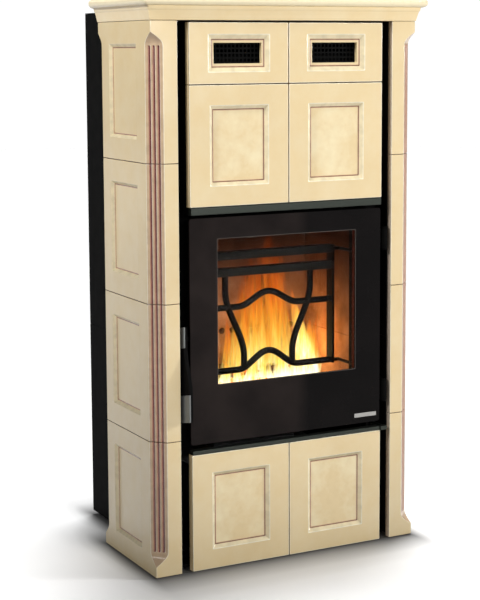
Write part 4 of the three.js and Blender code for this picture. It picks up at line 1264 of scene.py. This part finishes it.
def emberPaint():
    paint = Paint("embers", (0.06, 0.03, 0.02), 1.0, specular=0.0)
    tones = [(0.30, (0.75, 0.11, 0.006)), (0.45, (1.0, 0.34, 0.03)), (0.62, (1.0, 0.75, 0.25))]
    paint.glow(paint.ramp(paint.noise(70, 5.0, 0.6), tones), 2.0)
    return paint.material


logs = {
    # (start, end, radius) of each split log
    "logs": [
        ((-150, 236, 360), (120, 250, 362), 19),
        ((-110, 268, 360), (165, 262, 360), 19),
        ((-70, 225, 358), (170, 232, 368), 16),
    ],
    "steps": 24,
    "sides": 22,
    "taper": 0.12,
    "endSize": 0.86,
    "torn": 0.03,
    "emberCount": 90,
    "emberSize": (4, 10),
    "emberRough": (-0.22, 0.18),
    "bedX": (10, 75),  # middle and spread
    "bedHalf": 185,
    "bedY": (150, 275),
    "bedZ": 340.5,
    "heap": 14,
    "heapSlope": 12,
}


def splitLog(number, start, end, radius, material, chance):
    # A wedge with one round bark side and two torn flats
    start = Vector(start)
    end = Vector(end)
    along = (end - start).normalized()
    across = along.cross(Vector((0, 0, 1))).normalized()
    up = across.cross(along)
    steps = logs["steps"]
    phase = chance.uniform(0, 6.28)
    rings = []
    for step in range(steps + 1):
        share = step / steps
        taper = 1 - logs["taper"] * share
        inset = logs["endSize"] if step in (0, steps) else 1.0
        ring = []
        for angle, way in compass(logs["sides"], across, up):
            wedge = 0.62 + 0.38 * abs(math.cos(angle * 1.5 + phase)) ** 0.6
            rough = 1 + 0.05 * math.sin(angle * 5 + share * 11 + phase)
            rough += chance.uniform(-logs["torn"], logs["torn"])
            ring.append(tuple(start.lerp(end, share) + radius * taper * inset * wedge * rough * way))
        rings.append(ring)
    points, faces, _ = bridged(rings)
    piece = makePiece(f"split_log_{number}", points, faces, [material], sharpAngle=55)
    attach(piece, "stove_body")


def makeEmbers(chance):
    shells = Shells()
    for _ in range(logs["emberCount"]):
        size = chance.uniform(*logs["emberSize"])
        x = chance.gauss(*logs["bedX"])
        y = chance.uniform(*logs["bedY"])
        x = max(-logs["bedHalf"], min(logs["bedHalf"], x))
        heap = max(0, logs["heap"] - abs(x) / logs["heapSlope"])
        z = logs["bedZ"] + size * 0.7 + heap * chance.uniform(0, 1)
        work = bmesh.new()
        bmesh.ops.create_icosphere(work, subdivisions=2, radius=size)
        for vert in work.verts:
            vert.co *= 1 + chance.uniform(*logs["emberRough"])
        turn = Matrix.Rotation(chance.uniform(0, 6.28), 3, "Z")
        points = [tuple(turn @ vert.co + Vector((x, y, z))) for vert in work.verts]
        faces = [tuple(vert.index for vert in face.verts) for face in work.faces]
        work.free()
        shells.add(points, faces)
    piece = makePiece("embers", shells.points, shells.faces, [emberPaint()], sharpAngle=60)
    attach(piece, "stove_body")


def fireLight(name, place, power, size):
    light = bpy.data.lights.new(name, "POINT")
    light.energy = power
    light.color = fire["glowColour"]
    light.shadow_soft_size = size
    obj = newObject(name, light)
    obj.location = inMetres(place)
    obj.visible_camera = False
    obj.visible_transmission = False
    obj.visible_glossy = False


def makeFire():
    chance = random.Random(fire["seed"])
    heats = {name: flamePaint(name) for name in fire["heats"]}
    number = 0
    for heat, foot, tongues in fire["tongues"]:
        for tongue in tongues:
            number += 1
            flameTongue(number, foot, *tongue, heats[heat], chance)
    bark = barkPaint()
    for number, log in enumerate(logs["logs"], 1):
        splitLog(number, *log, bark, chance)
    makeEmbers(chance)
    for glow in fire["glows"]:
        fireLight(*glow)


makeFire()
print("fire made")
